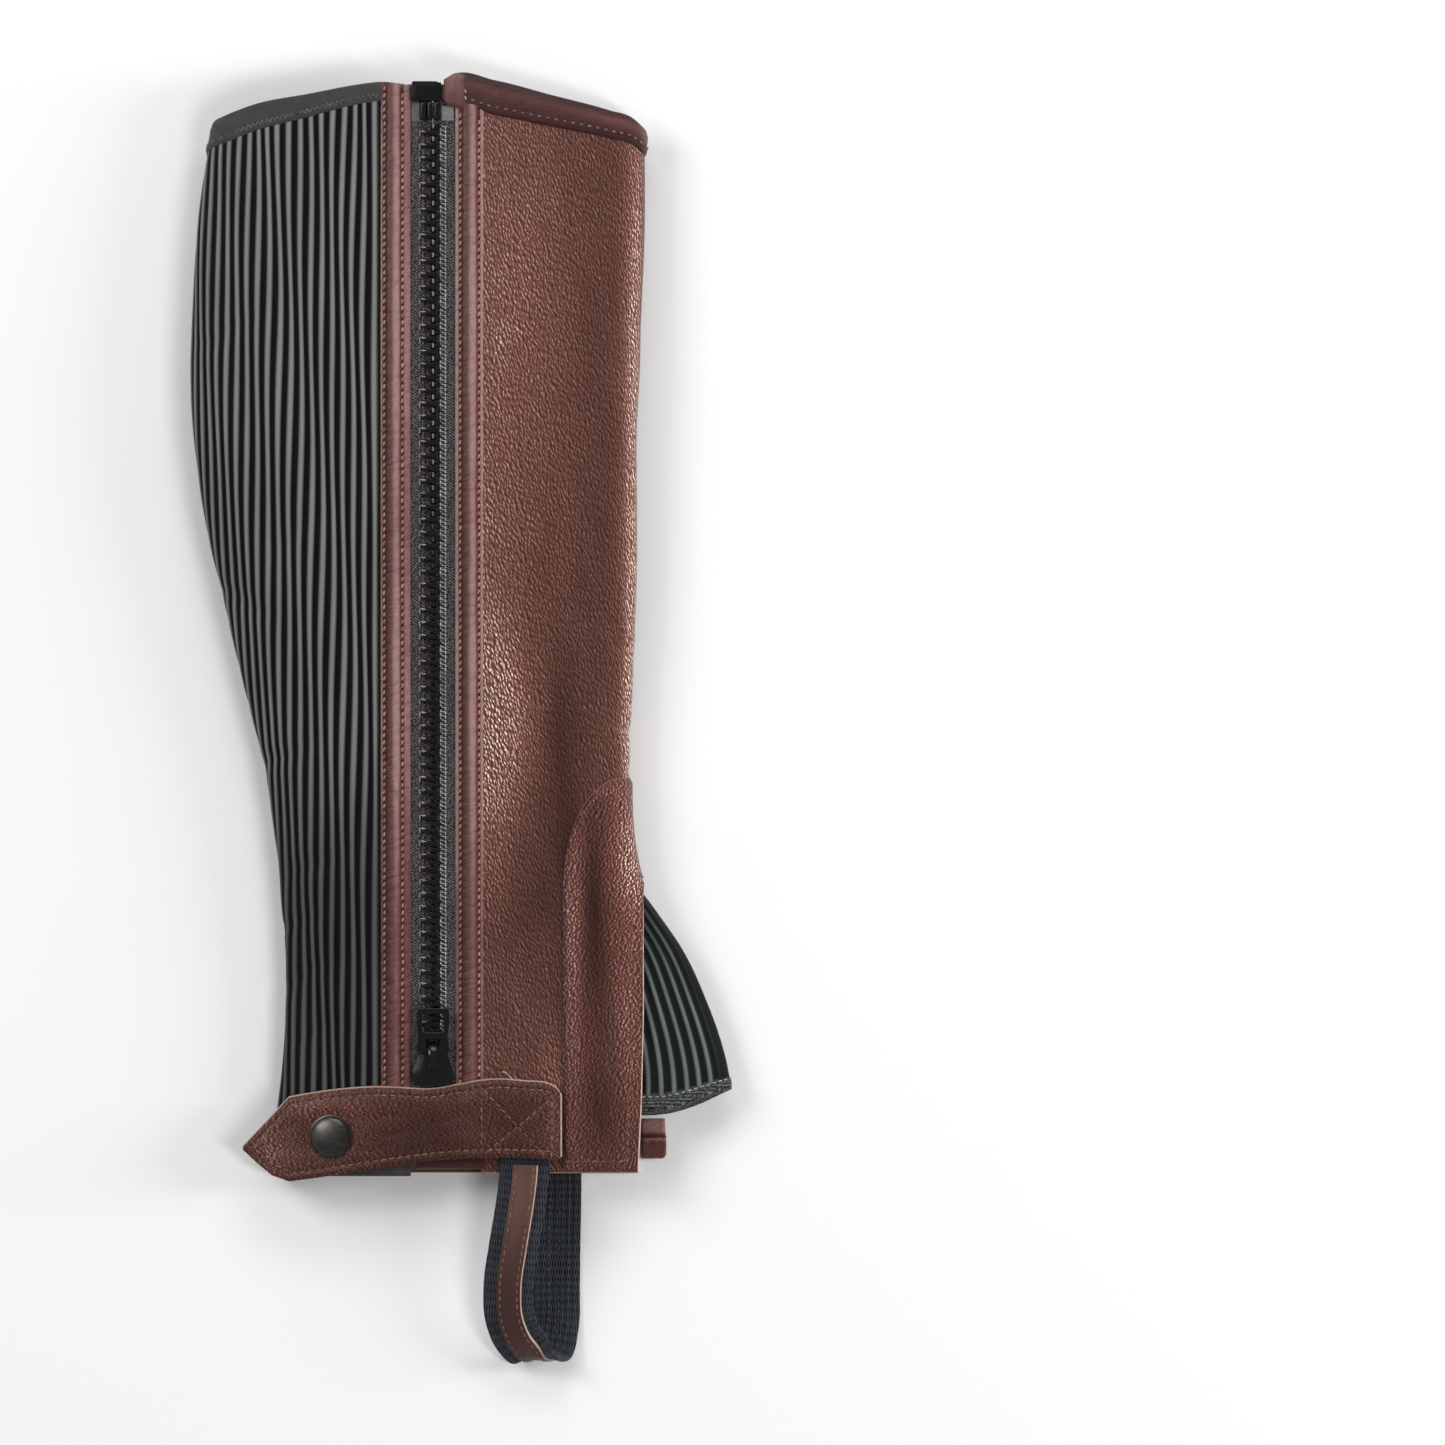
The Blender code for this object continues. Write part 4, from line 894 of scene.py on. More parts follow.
def patchOut(arc, height):
    # a padded ridge along the left and top edges, a hollow beside it, round edges and sunk sewing, added together;
    # it lies closer where it goes round the fold, and shares some of the panel's creases
    p = patch
    near = np.minimum(arc - p["start"], np.maximum(patchTop(arc) - height, 0))
    at, wide, high = p["ridge"]
    ridge = high * bump(near, at, wide) * (1 - ease(arc, *p["ridgeFades"]))
    at, wide, deep = p["hollow"]
    low, full, fades, ends = p["hollowEnds"]
    hollow = deep * bump(arc, at + 2.0 * np.sin(height / 31), wide)
    hollow = hollow * ease(height, low, full) * (1 - ease(height, fades, ends))
    edge = -p["edge"][0] * (1 - ease(near, 0, p["edge"][1]))
    side, foot = p["stitchIn"]
    sunk, wide = p["seam"]
    seams = bump(slitAcross(height) - side - readTube(arc, height, tubeX)[0], 0, wide) + bump(height, foot, wide)
    slack = ripple(arc, height, *p["slack"])
    return (p["over"] - 0.5 * ease(arc, 72, 84) + ridge + hollow + edge + slack - sunk * seams
            + 0.4 * leatherOut(arc, height))


def makePatch():
    # columns crowd by a cosine at the round upper corner, then run evenly to the slit and round the fold
    p = patch
    curved, straight, fold = p["columns"]
    front = curved + straight
    curve = p["roundShare"] * (1 - np.cos(np.linspace(0, math.pi / 2, curved + 1)))
    share = np.concatenate([curve, np.linspace(p["roundShare"], 1, straight + 1)[1:], np.linspace(1, 2, fold + 1)[1:]])

    def arcAt(height):
        up = arcWhere(slitAcross(height), height, 1)
        return between(np.stack([np.full(height.shape, p["start"]), up, patchEnd(height)], -1), share)

    top = patchTop(arcAt(np.full(1, p["topRead"]))[0])
    split = np.minimum(slitTop, top - 2)
    height = np.concatenate([gridUp(share, 0, split, p["lowRows"] + 1)[1],
                             gridUp(share, split, top, p["highRows"] + 1)[1][1:]])
    arc = np.stack([arcAt(height[:, k])[:, k] for k in range(len(share))], 1)
    out = patchOut(arc, height)
    row, col = np.arange(len(height))[:, None], np.arange(len(share))[None]
    keep = (row[:-1] >= p["lowRows"]) | (col[:, :-1] < front)
    cut, hem, head = (row <= p["lowRows"]) & (col == front), (row == 0) & (col >= 0), row == len(height) - 1
    outer = surfacePoint(arc - 0.3 * cut, height + 0.3 * hem, out - 0.4 * (cut | hem))
    inner = surfacePoint(arc + 0.1 * cut, height + 0.5 * head, p["under"] + 0.3 * np.minimum(out - p["over"], 0))
    # the tone attribute carries the painted light and shade
    made = shellMesh("lowerPatch", outer, inner, flatGrid(arc, height), [pebbledPatch, suede, patchEdge], keep,
                     {"tone": patches(arc, height, p["paintedLightAndShade"]), "bare": cut})
    cloth(made, "pebbled_leather", ["lower_patch"], (46, 152), 5000)
    # one row of sewing up the slit and one along the hem
    side, foot = p["stitchIn"]
    along = np.linspace(3.0, 108, 220)
    edge = arcWhere(slitAcross(along) - side, along, 1)
    run = np.linspace(p["start"] + 0.5, edge[0], 60)
    for arc, height in ((edge, along), (run, np.full(60, foot))):
        sewOnTube(strapThread, arc, height, patchOut(arc, height) + 0.1, **p["stitch"])


makePatch()
print("lower patch done")


# ribbed elastic over the calf
elastic = {
    "start": -20.3, "ribs": 30, "pitch": 4.1, "rise": 1.0, "perRib": 8, "rows": 150, "thick": 1.4, "foot": 4.8,
    "slack": (0.35, 19.0, 1.1), "bindingOut": 0.9, "bindingInside": -2.4, "zigzagUp": 2.4,
    "zigzag": {"pitch": 2.0, "long": 2.0, "wide": 0.45, "high": 0.26},
    "crowd": (330, 412, 0.9), "waves": [(0.42, 17, 0.31), (0.5, 41, 0.12)],  # size, reach up, lean with the arc
    "light": (0.2, 0.25, (72, 110)), "lightUp": [(0.7, 105, 175), (0.1, 200, 290)],  # least, less towards the fold
    "bindingNear": 7.6, "bindingFar": 11.2, "tuck": 1.5,
    "bindings": {  # node, first arc, cut length, heights of a hem's edges, and grooves: rise, depth, width
        "topBindingElastic": ("top_binding_elastic", -19.9, 118, None, [(0.52, 0.45, 0.05), (0.25, 0.2, 0.08)]),
        "hemBindingElastic": ("hem_binding_elastic", -8.6, 128, (-1.5, 6.0), [(0.5, 0.25, 0.06)])},
    "creases": [
        (-30, 262, -66, 236, 3.5, -0.7), (-56, 214, -96, 226, 3.2, -0.6), (-44, 168, -78, 150, 3.6, -0.8),
        (-26, 128, -60, 112, 3.2, -0.7), (-40, 100, -74, 92, 3.0, -0.6), (-30, 84, -62, 70, 3.2, -0.6),
        (-24, 58, -58, 52, 3.0, -0.5), (-60, 330, -96, 318, 3.5, -0.4)],
}


def elasticRim(arc):
    # the rim less the binding's width, which eases from its near value to its far one
    wide = elastic["bindingNear"] + (elastic["bindingFar"] - elastic["bindingNear"]) * ease(-arc, 20, 85)
    return rim(arc) - wide


def ribShape(phase):
    # one rib: a rounded crest on a narrow valley
    return (0.5 - 0.5 * np.cos(2 * math.pi * phase)) ** 0.75


def makeElasticPanel():
    # ribs by their phase along the arc, on a grid that wanders a little, lifted by each rib's crest and the creases
    p = elastic
    phase = np.arange(p["ribs"] * p["perRib"] + 1) / p["perRib"]
    along = -phase * p["pitch"]
    top = elasticRim(p["start"] + along) + p["tuck"]
    arc, height = gridUp(p["start"] + along, p["foot"], top, p["rows"] + 1)
    # the ribs wander a little and crowd under the top binding
    low, full, size = p["crowd"]
    wander = ease(height, low, full) * size * np.sin(arc / 7.3 + 0.6)
    wander = wander + sum(size * np.sin(height / reach + arc * lean) for size, reach, lean in p["waves"])
    wander = wander * ease(-along, 0, 6)
    edge = underSeam(height, -1)
    moved = np.maximum(arc + wander, edge) + 1.3 * (1 - ease(-along, 0, 1.2))  # the first edge lies under the band
    swell = 1 + 0.12 * np.sin(height / 29 + np.floor(phase) * 2.1)
    crest = np.broadcast_to(ribShape(phase), height.shape)
    hold = ease(top - height, 1.5, 7) * 0.75 + 0.25
    hold = hold * (0.35 + 0.65 * ease(height - p["foot"], 1.5, 7))
    free = lifted(moved, height)
    slack = creases(moved, height, p["creases"]) + ripple(moved, height, *p["slack"])
    out = free * (p["rise"] * swell * hold * (crest - 0.5) + slack)
    past = arc + wander <= edge + 1e-6
    keep = ~(past[:-1, :-1] & past[1:, :-1] & past[:-1, 1:] & past[1:, 1:])
    least, less, fold = p["light"]
    light = least + sum(size * ease(height, low, full) for size, low, full in p["lightUp"]) - less * ease(-moved, *fold)
    made = wall("elasticPanel", moved, height, out, np.minimum(free * slack, 0) * 0.7 - p["thick"] - 0.45,
                [elasticRibs, elasticInside, blackBraid], keep, {"crest": crest, "light": np.clip(light, 0, 1)}, 80)
    cloth(made, "elastic", ["elastic_panel"], (123, 405), 44000)


def bindingRings(arc, low, high, out, inside, bulge, grooves, around=22):
    # a strip folded over an edge: its section is a squared oblong from low to high, bulging by a sine and sunk by a
    # bell at each groove. Gives arc, height, level, how far a point lies on the outside, and its rise from 0 to 1
    u, v = squared(np.linspace(0, 2 * math.pi, around, endpoint=False), 0.45, 0.6)
    rise = np.broadcast_to((u + 1) / 2, (len(arc), around))
    outside = np.broadcast_to(np.clip(v, 0, 1), rise.shape)
    level = (out + inside) / 2 + (out - inside) / 2 * v + bulge * outside * np.sin(math.pi * rise)
    for at, deep, wide in grooves:
        level = level - deep * outside * bump(rise, at, wide)
    return np.broadcast_to(arc[:, None], rise.shape), low[:, None] + (high - low)[:, None] * rise, level, outside, rise


def strip(name, arc, height, level, outside, finish, crown=None):
    # the binding's mesh, whose inner half has its own place on the pattern
    return tubeMesh(name, surfacePoint(arc, height, level), flatGrid(arc, height + 30 * (1 - outside)), [finish],
                    None if crown is None else {"crown": crown})


def makeElasticBindings():
    # a folded strip along each edge of the panel
    p = elastic
    arc = np.linspace(p["start"], p["start"] - p["ribs"] * p["pitch"], 150)
    for name, (node, start, length, hem, grooves) in p["bindings"].items():
        low, high = (np.full(150, level) for level in hem) if hem else (elasticRim(arc), rim(arc))
        line = start + (arc - arc[0]) * (arc[-1] - start) / (arc[-1] - arc[0])
        edge = underSeam((low + high) / 2, -1)
        line = np.maximum(line, edge + 0.02 * (line - line.min()))
        free = lifted(line, (low + high) / 2)[:, None]
        rings, height, level, outside, rise = bindingRings(line, low, high, p["bindingOut"], p["bindingInside"], 0.3,
                                                           grooves)
        level = np.where(level > 0, level * free, level) + 0.12 * outside * free * np.sin(rings / 1.3)
        made = strip(name, rings, height, level, outside, blackBraid)
        cloth(made, "black_braid", [node], (length, float(np.mean(high - low)) + 1), None)
    # the zigzag that holds the top binding: short beads, slanting one way and then the other
    run = np.linspace(p["start"] - 0.6, -112, 300)
    height = elasticRim(run) + p["zigzagUp"]
    for tilt, phase in ((62, 0.25), (-62, 0.75)):
        sewOnTube(braidThread, run, height, lifted(run, height) + 0.05, slant=tilt, phase=phase, **p["zigzag"])


makeElasticPanel()
makeElasticBindings()
print("elastic and its bindings done")


# smooth bands along the zip
bands = {
    "calf": {"node": "zip_band_calf", "start": -20.0, "end": -8.6, "rows": (-18.6, -11.7), "foot": 4.8,
             "creases": [(-20, 160, -9, 146, 1.3, -0.7), (-19, 150, -10, 139, 1.1, -0.6), (-20, 76, -9, 62, 1.3, -0.8),
                         (-19, 68, -10, 55, 1.2, -0.8), (-20, 58, -9, 44, 1.2, -0.7), (-18, 210, -11, 203, 1.2, -0.4),
                         (-18, 330, -10, 324, 1.1, -0.35)]},
    "shin": {"node": "zip_band_shin", "start": 8.7, "end": 19.4, "rows": (10.6, 17.7), "foot": 7.8,
             "creases": [(9, 120, 18, 112, 1.3, -0.5), (9, 86, 18, 95, 1.2, -0.4), (9, 240, 18, 233, 1.4, -0.3)]},
}
bandLook = {  # what both bands share
    "flat": 0.55, "puff": 1.15, "sunk": (0.42, 0.75), "slack": (0.12, 9.0, 3.0),
    "stitch": {"pitch": 2.75, "long": 1.9, "wide": 0.85, "high": 0.36, "slant": -16},
}


def bandOut(band, arc, height):
    # puffed by a sine between two sunk rows of stitching, flat outside them
    p = bandLook
    (first, last), (deep, wide) = band["rows"], p["sunk"]
    part = np.clip((arc - first) / (last - first), 0, 1)
    puff = p["puff"] * np.sin(math.pi * part) ** 0.7
    grooves = deep * (bump(arc, first, wide) + bump(arc, last, wide))
    slant = 0.14 * np.sin((height * 2 + arc) / 2.1) * (bump(arc, first, 1.6) + bump(arc, last, 1.6))
    slack = 0.8 * creases(arc, height, band["creases"]) + ripple(arc, height, *p["slack"])
    return p["flat"] + puff - grooves + slant + slack


def makeBands():
    # the crown attribute is a painted highlight: a sine over the puff, pale at the outer edges
    for side, band in bands.items():
        start, end = band["start"], band["end"]
        line = np.linspace(start, end, 33)
        top = rim(line) if side == "calf" else underTopBinding(line) + topBinding["tuck"]
        arc, height = gridUp(line, band["foot"], top, 300)
        edge = np.minimum(arc - start, end - arc)
        out = bandOut(band, arc, height) - 0.5 * (1 - ease(edge, 0, 0.8))
        if side == "calf":  # its top turns in over the rim
            out = out - 1.2 * (1 - ease(top - height, 0, 1.6))
        first, last = band["rows"]
        part = np.clip((arc - first) / (last - first), 0, 1)
        outside = np.clip(np.maximum(first - 0.4 - arc, arc - last - 0.4) / 0.3, 0, 1)
        # painted highlight over the puff, peaking past its middle, pale outside the rows and dimmer lower down
        crown = np.sin(math.pi * part ** 1.8) ** 1.1 + (0.8 if side == "calf" else 1.05) * outside
        crown = crown * (0.6 + 0.4 * ease(height, 30, 180) + 0.08 * np.sin(height / 23))
        made = wall("zipBand" + side.title(), arc, height, out, -leather["thick"] - 0.15, [bandLeather, suede, rawEdge],
                    None, {"crown": crown})
        cloth(made, "smooth_leather", [band["node"]], (end - start, 412), None)
        for at in band["rows"]:
            head = rim(at) if side == "calf" else underTopBinding(at)
            run = np.linspace(band["foot"] + 1, float(head) - 2, 900)
            sewOnTube(bandThread, at + 0.08 * np.sin(run / 3), run, bandOut(band, np.full(900, at), run) + 0.22,
                      hole=needleHole, **bandLook["stitch"])


makeBands()
print("zip bands done")


# zip: tapes, teeth, box, slider and pull tab
zipper = {
    "tapes": {"zipTapeCalf": (-9.6, -0.1, "zip_tape_calf"), "zipTapeShin": (0.1, 9.7, "zip_tape_shin")},
    "foot": 8.0, "head": 418.4, "sewnTo": 403.0, "tapeOut": -0.7, "tapeThick": 0.8, "slack": (0.08, 7.0, 5.0),
    "ridges": [(5.4, 0.7, 0.5), (7.2, 0.5, 0.15)],  # distance from the centre line, width and height
    "cord": (3.6, -0.2, 0.62, 0.5),  # distance from the centre line, level, half width, half height
    # the shin side's film takes the lighter copy, a painted reflection
    "films": [("zipFilmCalf", (-8.2, -5.1), (404.2, 411.2), film),
              ("zipFilmShin", (3.4, 8.0), (404.4, 410.2), filmHighlit)],
    "pitch": 4.97, "firstTooth": 54.5, "lastTooth": 402.5,
    "rows": [(-1, 0.5, 1, 0.9, 0.35), (1, 0.0, 0.74, 0.35, 1.0)],  # side, offset, root's share, where the painted glint sits, how strong it is
    # a ladder of light thread on the shin side; on the calf side a bar and a float of the same light thread for each
    # root, a painted highlight on the root's edges: thread, arc, share of the teeth's pitch, length, width, height,
    # slant, phase and level
    "sewing": [
        (chainThread, 3.0, 1 / 3, 1.4, 0.6, 0.3, 6, 0.5, 0.5), (chainThread, 4.9, 1 / 3, 1.4, 0.6, 0.3, -8, 0.9, 0.35),
        (chainThread, 4.0, 1 / 3, 1.9, 0.36, 0.26, 78, 0.2, 0.45), (chainThread, -3.7, 1, 2.4, 0.4, 0.2, 84, 0.69, 1.4),
        (chainThread, -5.0, 1, 2.2, 0.4, 0.24, 4, 0.5, 0.1), (tapeThread, -6.2, 1 / 3, 0.9, 0.3, 0.18, 50, 0.4, -0.1)],
    "tooth": [  # distance from the centre, half length along the zip, half thickness
        (4.3, 0.35, 0.3), (4.15, 0.85, 0.72), (3.6, 1.02, 0.95), (2.6, 1.02, 1.0), (2.0, 0.86, 0.98), (1.3, 0.66, 0.95),
        (0.7, 0.72, 0.95), (0.1, 1.22, 0.95), (-0.7, 1.34, 0.95), (-1.3, 1.14, 0.86), (-1.52, 0.5, 0.4)],
    "box": {"across": (-8.2, 3.2), "height": (412.0, 419.6), "out": (-0.4, 2.0)},
    "sleeves": {"across": (-5.0, 2.8), "height": (404.4, 411.7), "out": (-0.4, 1.5)},
}


def roundedBox(across, height, level, corner, topCorner, steps=4):
    # a closed box with rounded corners: its rings are stacked upwards and pulled in over both ends
    cx, cy = (across[0] + across[1]) / 2, (height[0] + height[1]) / 2
    hx, hy = (across[1] - across[0]) / 2, (height[1] - height[0]) / 2
    turn = np.linspace(0, math.pi / 2, steps + 1)
    quarter = np.stack([np.cos(turn), np.sin(turn)], 1)
    loop = np.concatenate([quarter @ np.array([[c, s], [-s, c]]) * corner + (sx * (hx - corner), sy * (hy - corner))
                           for c, s, sx, sy in ((1, 0, 1, 1), (0, 1, -1, 1), (-1, 0, -1, -1), (0, -1, 1, -1))])
    inward, upward = topCorner * (1 - np.sin(turn)), topCorner * (1 - np.cos(turn))
    inset = np.concatenate([inward, upward])[:, None]
    z = np.concatenate([level[0] + upward, level[1] - inward])[:, None]
    x, y = loop[:, 0] * (hx - inset) / hx + cx, loop[:, 1] * (hy - inset) / hy + cy
    return closeRings(np.stack([x, y, np.broadcast_to(z, x.shape)], -1))


def makeTapes():
    # each tape is a flat strip with two ridges, and the rows of sewing tie the teeth on it
    p = zipper
    for name, (start, end, node) in p["tapes"].items():
        arc, height = gridUp(np.linspace(start, end, 19), p["foot"], np.full(19, p["head"]), 260)
        # two woven ridges run beside the teeth
        ridges = sum(high * bump(np.abs(arc), at, wide) for at, wide, high in p["ridges"])
        out = p["tapeOut"] + ridges + ripple(arc, height, *p["slack"])
        made = wall(name, arc, height, out, p["tapeOut"] - p["tapeThick"], [tapeWeave])
        cloth(made, "zip_tape", [node], (9.5, 405), None)
    run = np.linspace(p["firstTooth"] - 5, p["sewnTo"], 1400)
    for thread, at, share, long, wide, high, slant, phase, level in p["sewing"]:
        sewOnTube(thread, at, run, level, pitch=p["pitch"] * share, long=long, wide=wide, high=high, slant=slant,
                  phase=phase)


def makeTeeth():
    # each tooth is a moulded block on the tape, a narrower neck and a wider head past the centre line
    p = zipper
    stations = np.array(p["tooth"])
    c, s = squared(np.arange(10) * 2 * math.pi / 10 + 0.3, 0.55, 0.8)
    rings = np.stack([stations[:, :1] + 0 * c, stations[:, 1:2] * c, stations[:, 2:] * s], -1)
    base, faces = closeRings(rings)
    groups, toothGlints = [], []
    for side, offset, root, head, rub in p["rows"]:
        at = np.arange(p["firstTooth"] + offset * p["pitch"], p["lastTooth"], p["pitch"])
        up = surfaceNormal(np.zeros(len(at)), at)
        along = np.broadcast_to((0.0, 1.0, 0.0), up.shape)
        axes = np.stack([np.cross(along, up) * side, along, up], 1)
        groups.append(scatter((base * (root, 1, 1), faces), surfacePoint(np.zeros(len(at)), at, 0.5), axes))
        # a painted glint: a light dot on the top of each head, stronger higher up
        toothGlint = bump(base[:, 0], head, 0.5) * (base[:, 2] > 0.5) * rub
        toothGlints.append(((0.6 + 0.4 * ease(at, 180, 300))[:, None] * toothGlint).ravel())
    made = joinMeshes("zipTeeth", groups, toothBlack, 35, {"toothGlint": np.concatenate(toothGlints)})
    dress(made, "chap", "moulded_black", "zip_chain")
    # the cord that the teeth are moulded on, along both edges
    away, level, wide, high = p["cord"]
    turn = np.arange(8) * math.pi / 4
    run = np.linspace(p["foot"] + 1, p["lastTooth"] + 1, 200)[:, None]
    for side, name in ((-1, "zipCordCalf"), (1, "zipCordShin")):
        arc, height, out = np.broadcast_arrays(side * (away + wide * np.cos(turn)), run, level + high * np.sin(turn))
        dress(tubeMesh(name, surfacePoint(arc, height, out), flatGrid(arc, height), [tapeWeave]), "chap", "zip_tape")


def makeBoxAndSleeves():
    # rounded boxes on the tube's top: the box has a block, a lip and a panel, and three sleeves stand below it
    b = zipper["box"]
    level = float(topLevel(0.0, b["height"][0]))
    lo, hi = level + b["out"][0], level + b["out"][1]
    (left, right), (foot, head) = b["across"], b["height"]
    parts = [roundedBox((left, right - 1.1), b["height"], (lo, hi), 0.9, 0.5),
             roundedBox((right - 1.6, right), (foot + 0.2, head - 0.4), (lo, hi - 0.5), 0.5, 0.4),
             roundedBox((left + 1.2, right - 2.6), (foot + 1.3, head - 1.3), (hi - 0.4, hi + 0.22), 0.6, 0.2)]
    dress(joinMeshes("zipBox", parts, glossBlack), "chap", "moulded_black", "zip_box")
    s = zipper["sleeves"]
    level = float(topLevel(0.0, s["height"][0]))
    lo, hi = level + s["out"][0], level + s["out"][1]
    edges, (foot, head) = np.linspace(*s["across"], 4), s["height"]
    parts = [roundedBox((edges[k] + 0.12, edges[k + 1] - 0.12), (foot + 0.25 * (k % 2), head),
                        (lo, hi - 0.15 * (k % 2)), 0.7, 0.85) for k in range(3)]
    dress(joinMeshes("zipSleeves", parts, glossBlack), "chap", "moulded_black", "zip_sleeves")
    # the stiffened ends of both tapes, heat-sealed under clear film
    for name, arc, height, finish in zipper["films"]:
        arc, height = gridUp(np.linspace(*arc, 12), *height, 14)
        out = -0.08 + 0.08 * np.sin(arc * 1.7) * np.sin(height * 0.9)
        dress(wall(name, arc, height, out, out - 0.3, [finish]), "chap", "moulded_black")


makeTapes()
makeTeeth()
makeBoxAndSleeves()
print("zip done")


slider = {
    "height": (33.4, 52.6), "seat": -0.1, "rise": 3.4,
    "half": [(0.0, 6.6), (0.10, 7.7), (0.22, 8.0), (0.42, 7.0), (0.62, 5.9), (0.85, 5.5), (1.0, 4.6)],
    "endRound": 0.06, "keel": (0.9, 2.2),  # how far the flanges fall below the keel, and its half width
    "crownHalf": 1.9, "crownSpan": (39.0, 50.6), "crownRise": 4.2, "crownThick": 0.62, "crownHole": (44.6, 48.9),
}


def makeSlider():
    # plan: half width along its length; section: a rounded oblong whose top carries a central keel
    p = slider
    base = float(topLevel(0.0, p["height"][1])) + p["seat"]
    t = np.linspace(0, 1, 40)
    half = readRows(p["half"], t)
    height = np.interp(t, (0, 1), p["height"])
    c, s = squared(np.linspace(0, 2 * math.pi, 28, endpoint=False), 0.5, 0.5)
    close = np.sqrt(1 - np.clip(1 - np.minimum(t, 1 - t) / p["endRound"], 0, 0.92) ** 2)
    x = half[:, None] * c
    z = base + p["rise"] / 2 + p["rise"] / 2 * close[:, None] * s
    # the top falls away from the keel towards both flanges
    fall, keel = p["keel"]
    z = z - fall * np.clip(s, 0, 1) * ease(np.abs(x), keel, half[:, None]) * close[:, None]
    body = np.stack([x, np.broadcast_to(height[:, None], x.shape), z], -1)
    roof = base + p["rise"]
    # the crown: a bridge over the hole that the pull tab swings in
    span, hole = p["crownSpan"], p["crownHole"]
    u = np.linspace(0, 1, 36)
    over = roof - 1.0 + (p["crownRise"] + 0.35) * np.clip(np.sin(math.pi * u), 0, 1) ** 0.45
    along = span[0] + 0.65 + (span[1] - span[0] - 1.3) * u
    slope = unit(np.stack([np.gradient(along), np.gradient(over)], 1))
    c, s = squared(np.linspace(0, 2 * math.pi, 12, endpoint=False), 0.6, 0.8)
    wide, off = (p["crownHalf"] - 0.1) * c, p["crownThick"] * s
    bridge = np.stack([wide + 0 * u[:, None], along[:, None] - slope[:, 1:] * off,
                       over[:, None] + slope[:, :1] * off], -1)
    lump = roundedBox((-p["crownHalf"], p["crownHalf"]), (span[0], hole[0] - 0.4),
                      (roof - 1.0, roof + p["crownRise"] - 0.5), 0.9, 1.4)
    made = joinMeshes("zipSlider", [closeRings(body), closeRings(bridge), lump], glossBlack, 35)
    dress(made, "chap", "moulded_black", "zip_slider")


pullTab = {
    "half": 6.3, "tail": 0.85, "length": 16.4, "thick": 1.7, "slotHalf": 2.6, "slot": (0.85, 4.6),
    "windowHalf": 4.1, "window": (7.2, 14.2), "bevel": 0.42,
}


def makePullTab():
    # a plate with two openings: a grid of cells, the cells inside the openings left out, and its edges beveled
    p = pullTab
    low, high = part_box("pull_tab")
    middle = (np.array(low) + np.array(high)) / 2
    right = np.array([p["slotHalf"], p["windowHalf"], 5.2, p["half"]])
    xs = np.concatenate([-right[::-1], [0], right])
    ys = np.array([-p["tail"], 0.0, *p["slot"], 5.9, p["window"][0], 10.7, p["window"][1], 15.2, p["length"]])
    x, y = np.meshgrid(xs, ys)
    # both far corners are cut round and the near end narrows to the crown
    corner = (np.abs(x) > 6) & ((y > 16) | (y < -0.8))
    x = np.where(corner, np.sign(x) * (np.abs(x) - 0.9), x)
    x = x * (1 - 0.1 * bump(y, 5.4, 2.6) * (np.abs(x) > 5))
    cx, cy = (xs[:-1] + xs[1:]) / 2, (ys[:-1] + ys[1:]) / 2
    keep = np.ones((len(cy), len(cx)), bool)
    for half, (near, far) in ((p["slotHalf"], p["slot"]), (p["windowHalf"], p["window"])):
        keep &= ~((np.abs(cx)[None] < half) & (cy[:, None] > near) & (cy[:, None] < far))
    axisX, axisY = (middle[0] - zipLine) * 1000, (low[1] - hemLine) * 1000 + p["tail"]
    outer = np.stack([x + axisX, y + axisY, np.full(x.shape, middle[2] * 1000 + p["thick"] / 2)], -1)
    inner = outer - (0, 0, p["thick"])
    made = shellMesh("pullTab", outer, inner, flatGrid(x, y), [glossBlack], keep, None, 30)
    soften = made.modifiers.new("soften", "BEVEL")
    soften.width = p["bevel"] * 0.001
    soften.segments = 3
    soften.limit_method = "ANGLE"
    soften.angle_limit = math.radians(40)
    dress(made, "pull_tab", "moulded_black", "pull_tab")


makeSlider()
makePullTab()
print("slider and pull tab done")


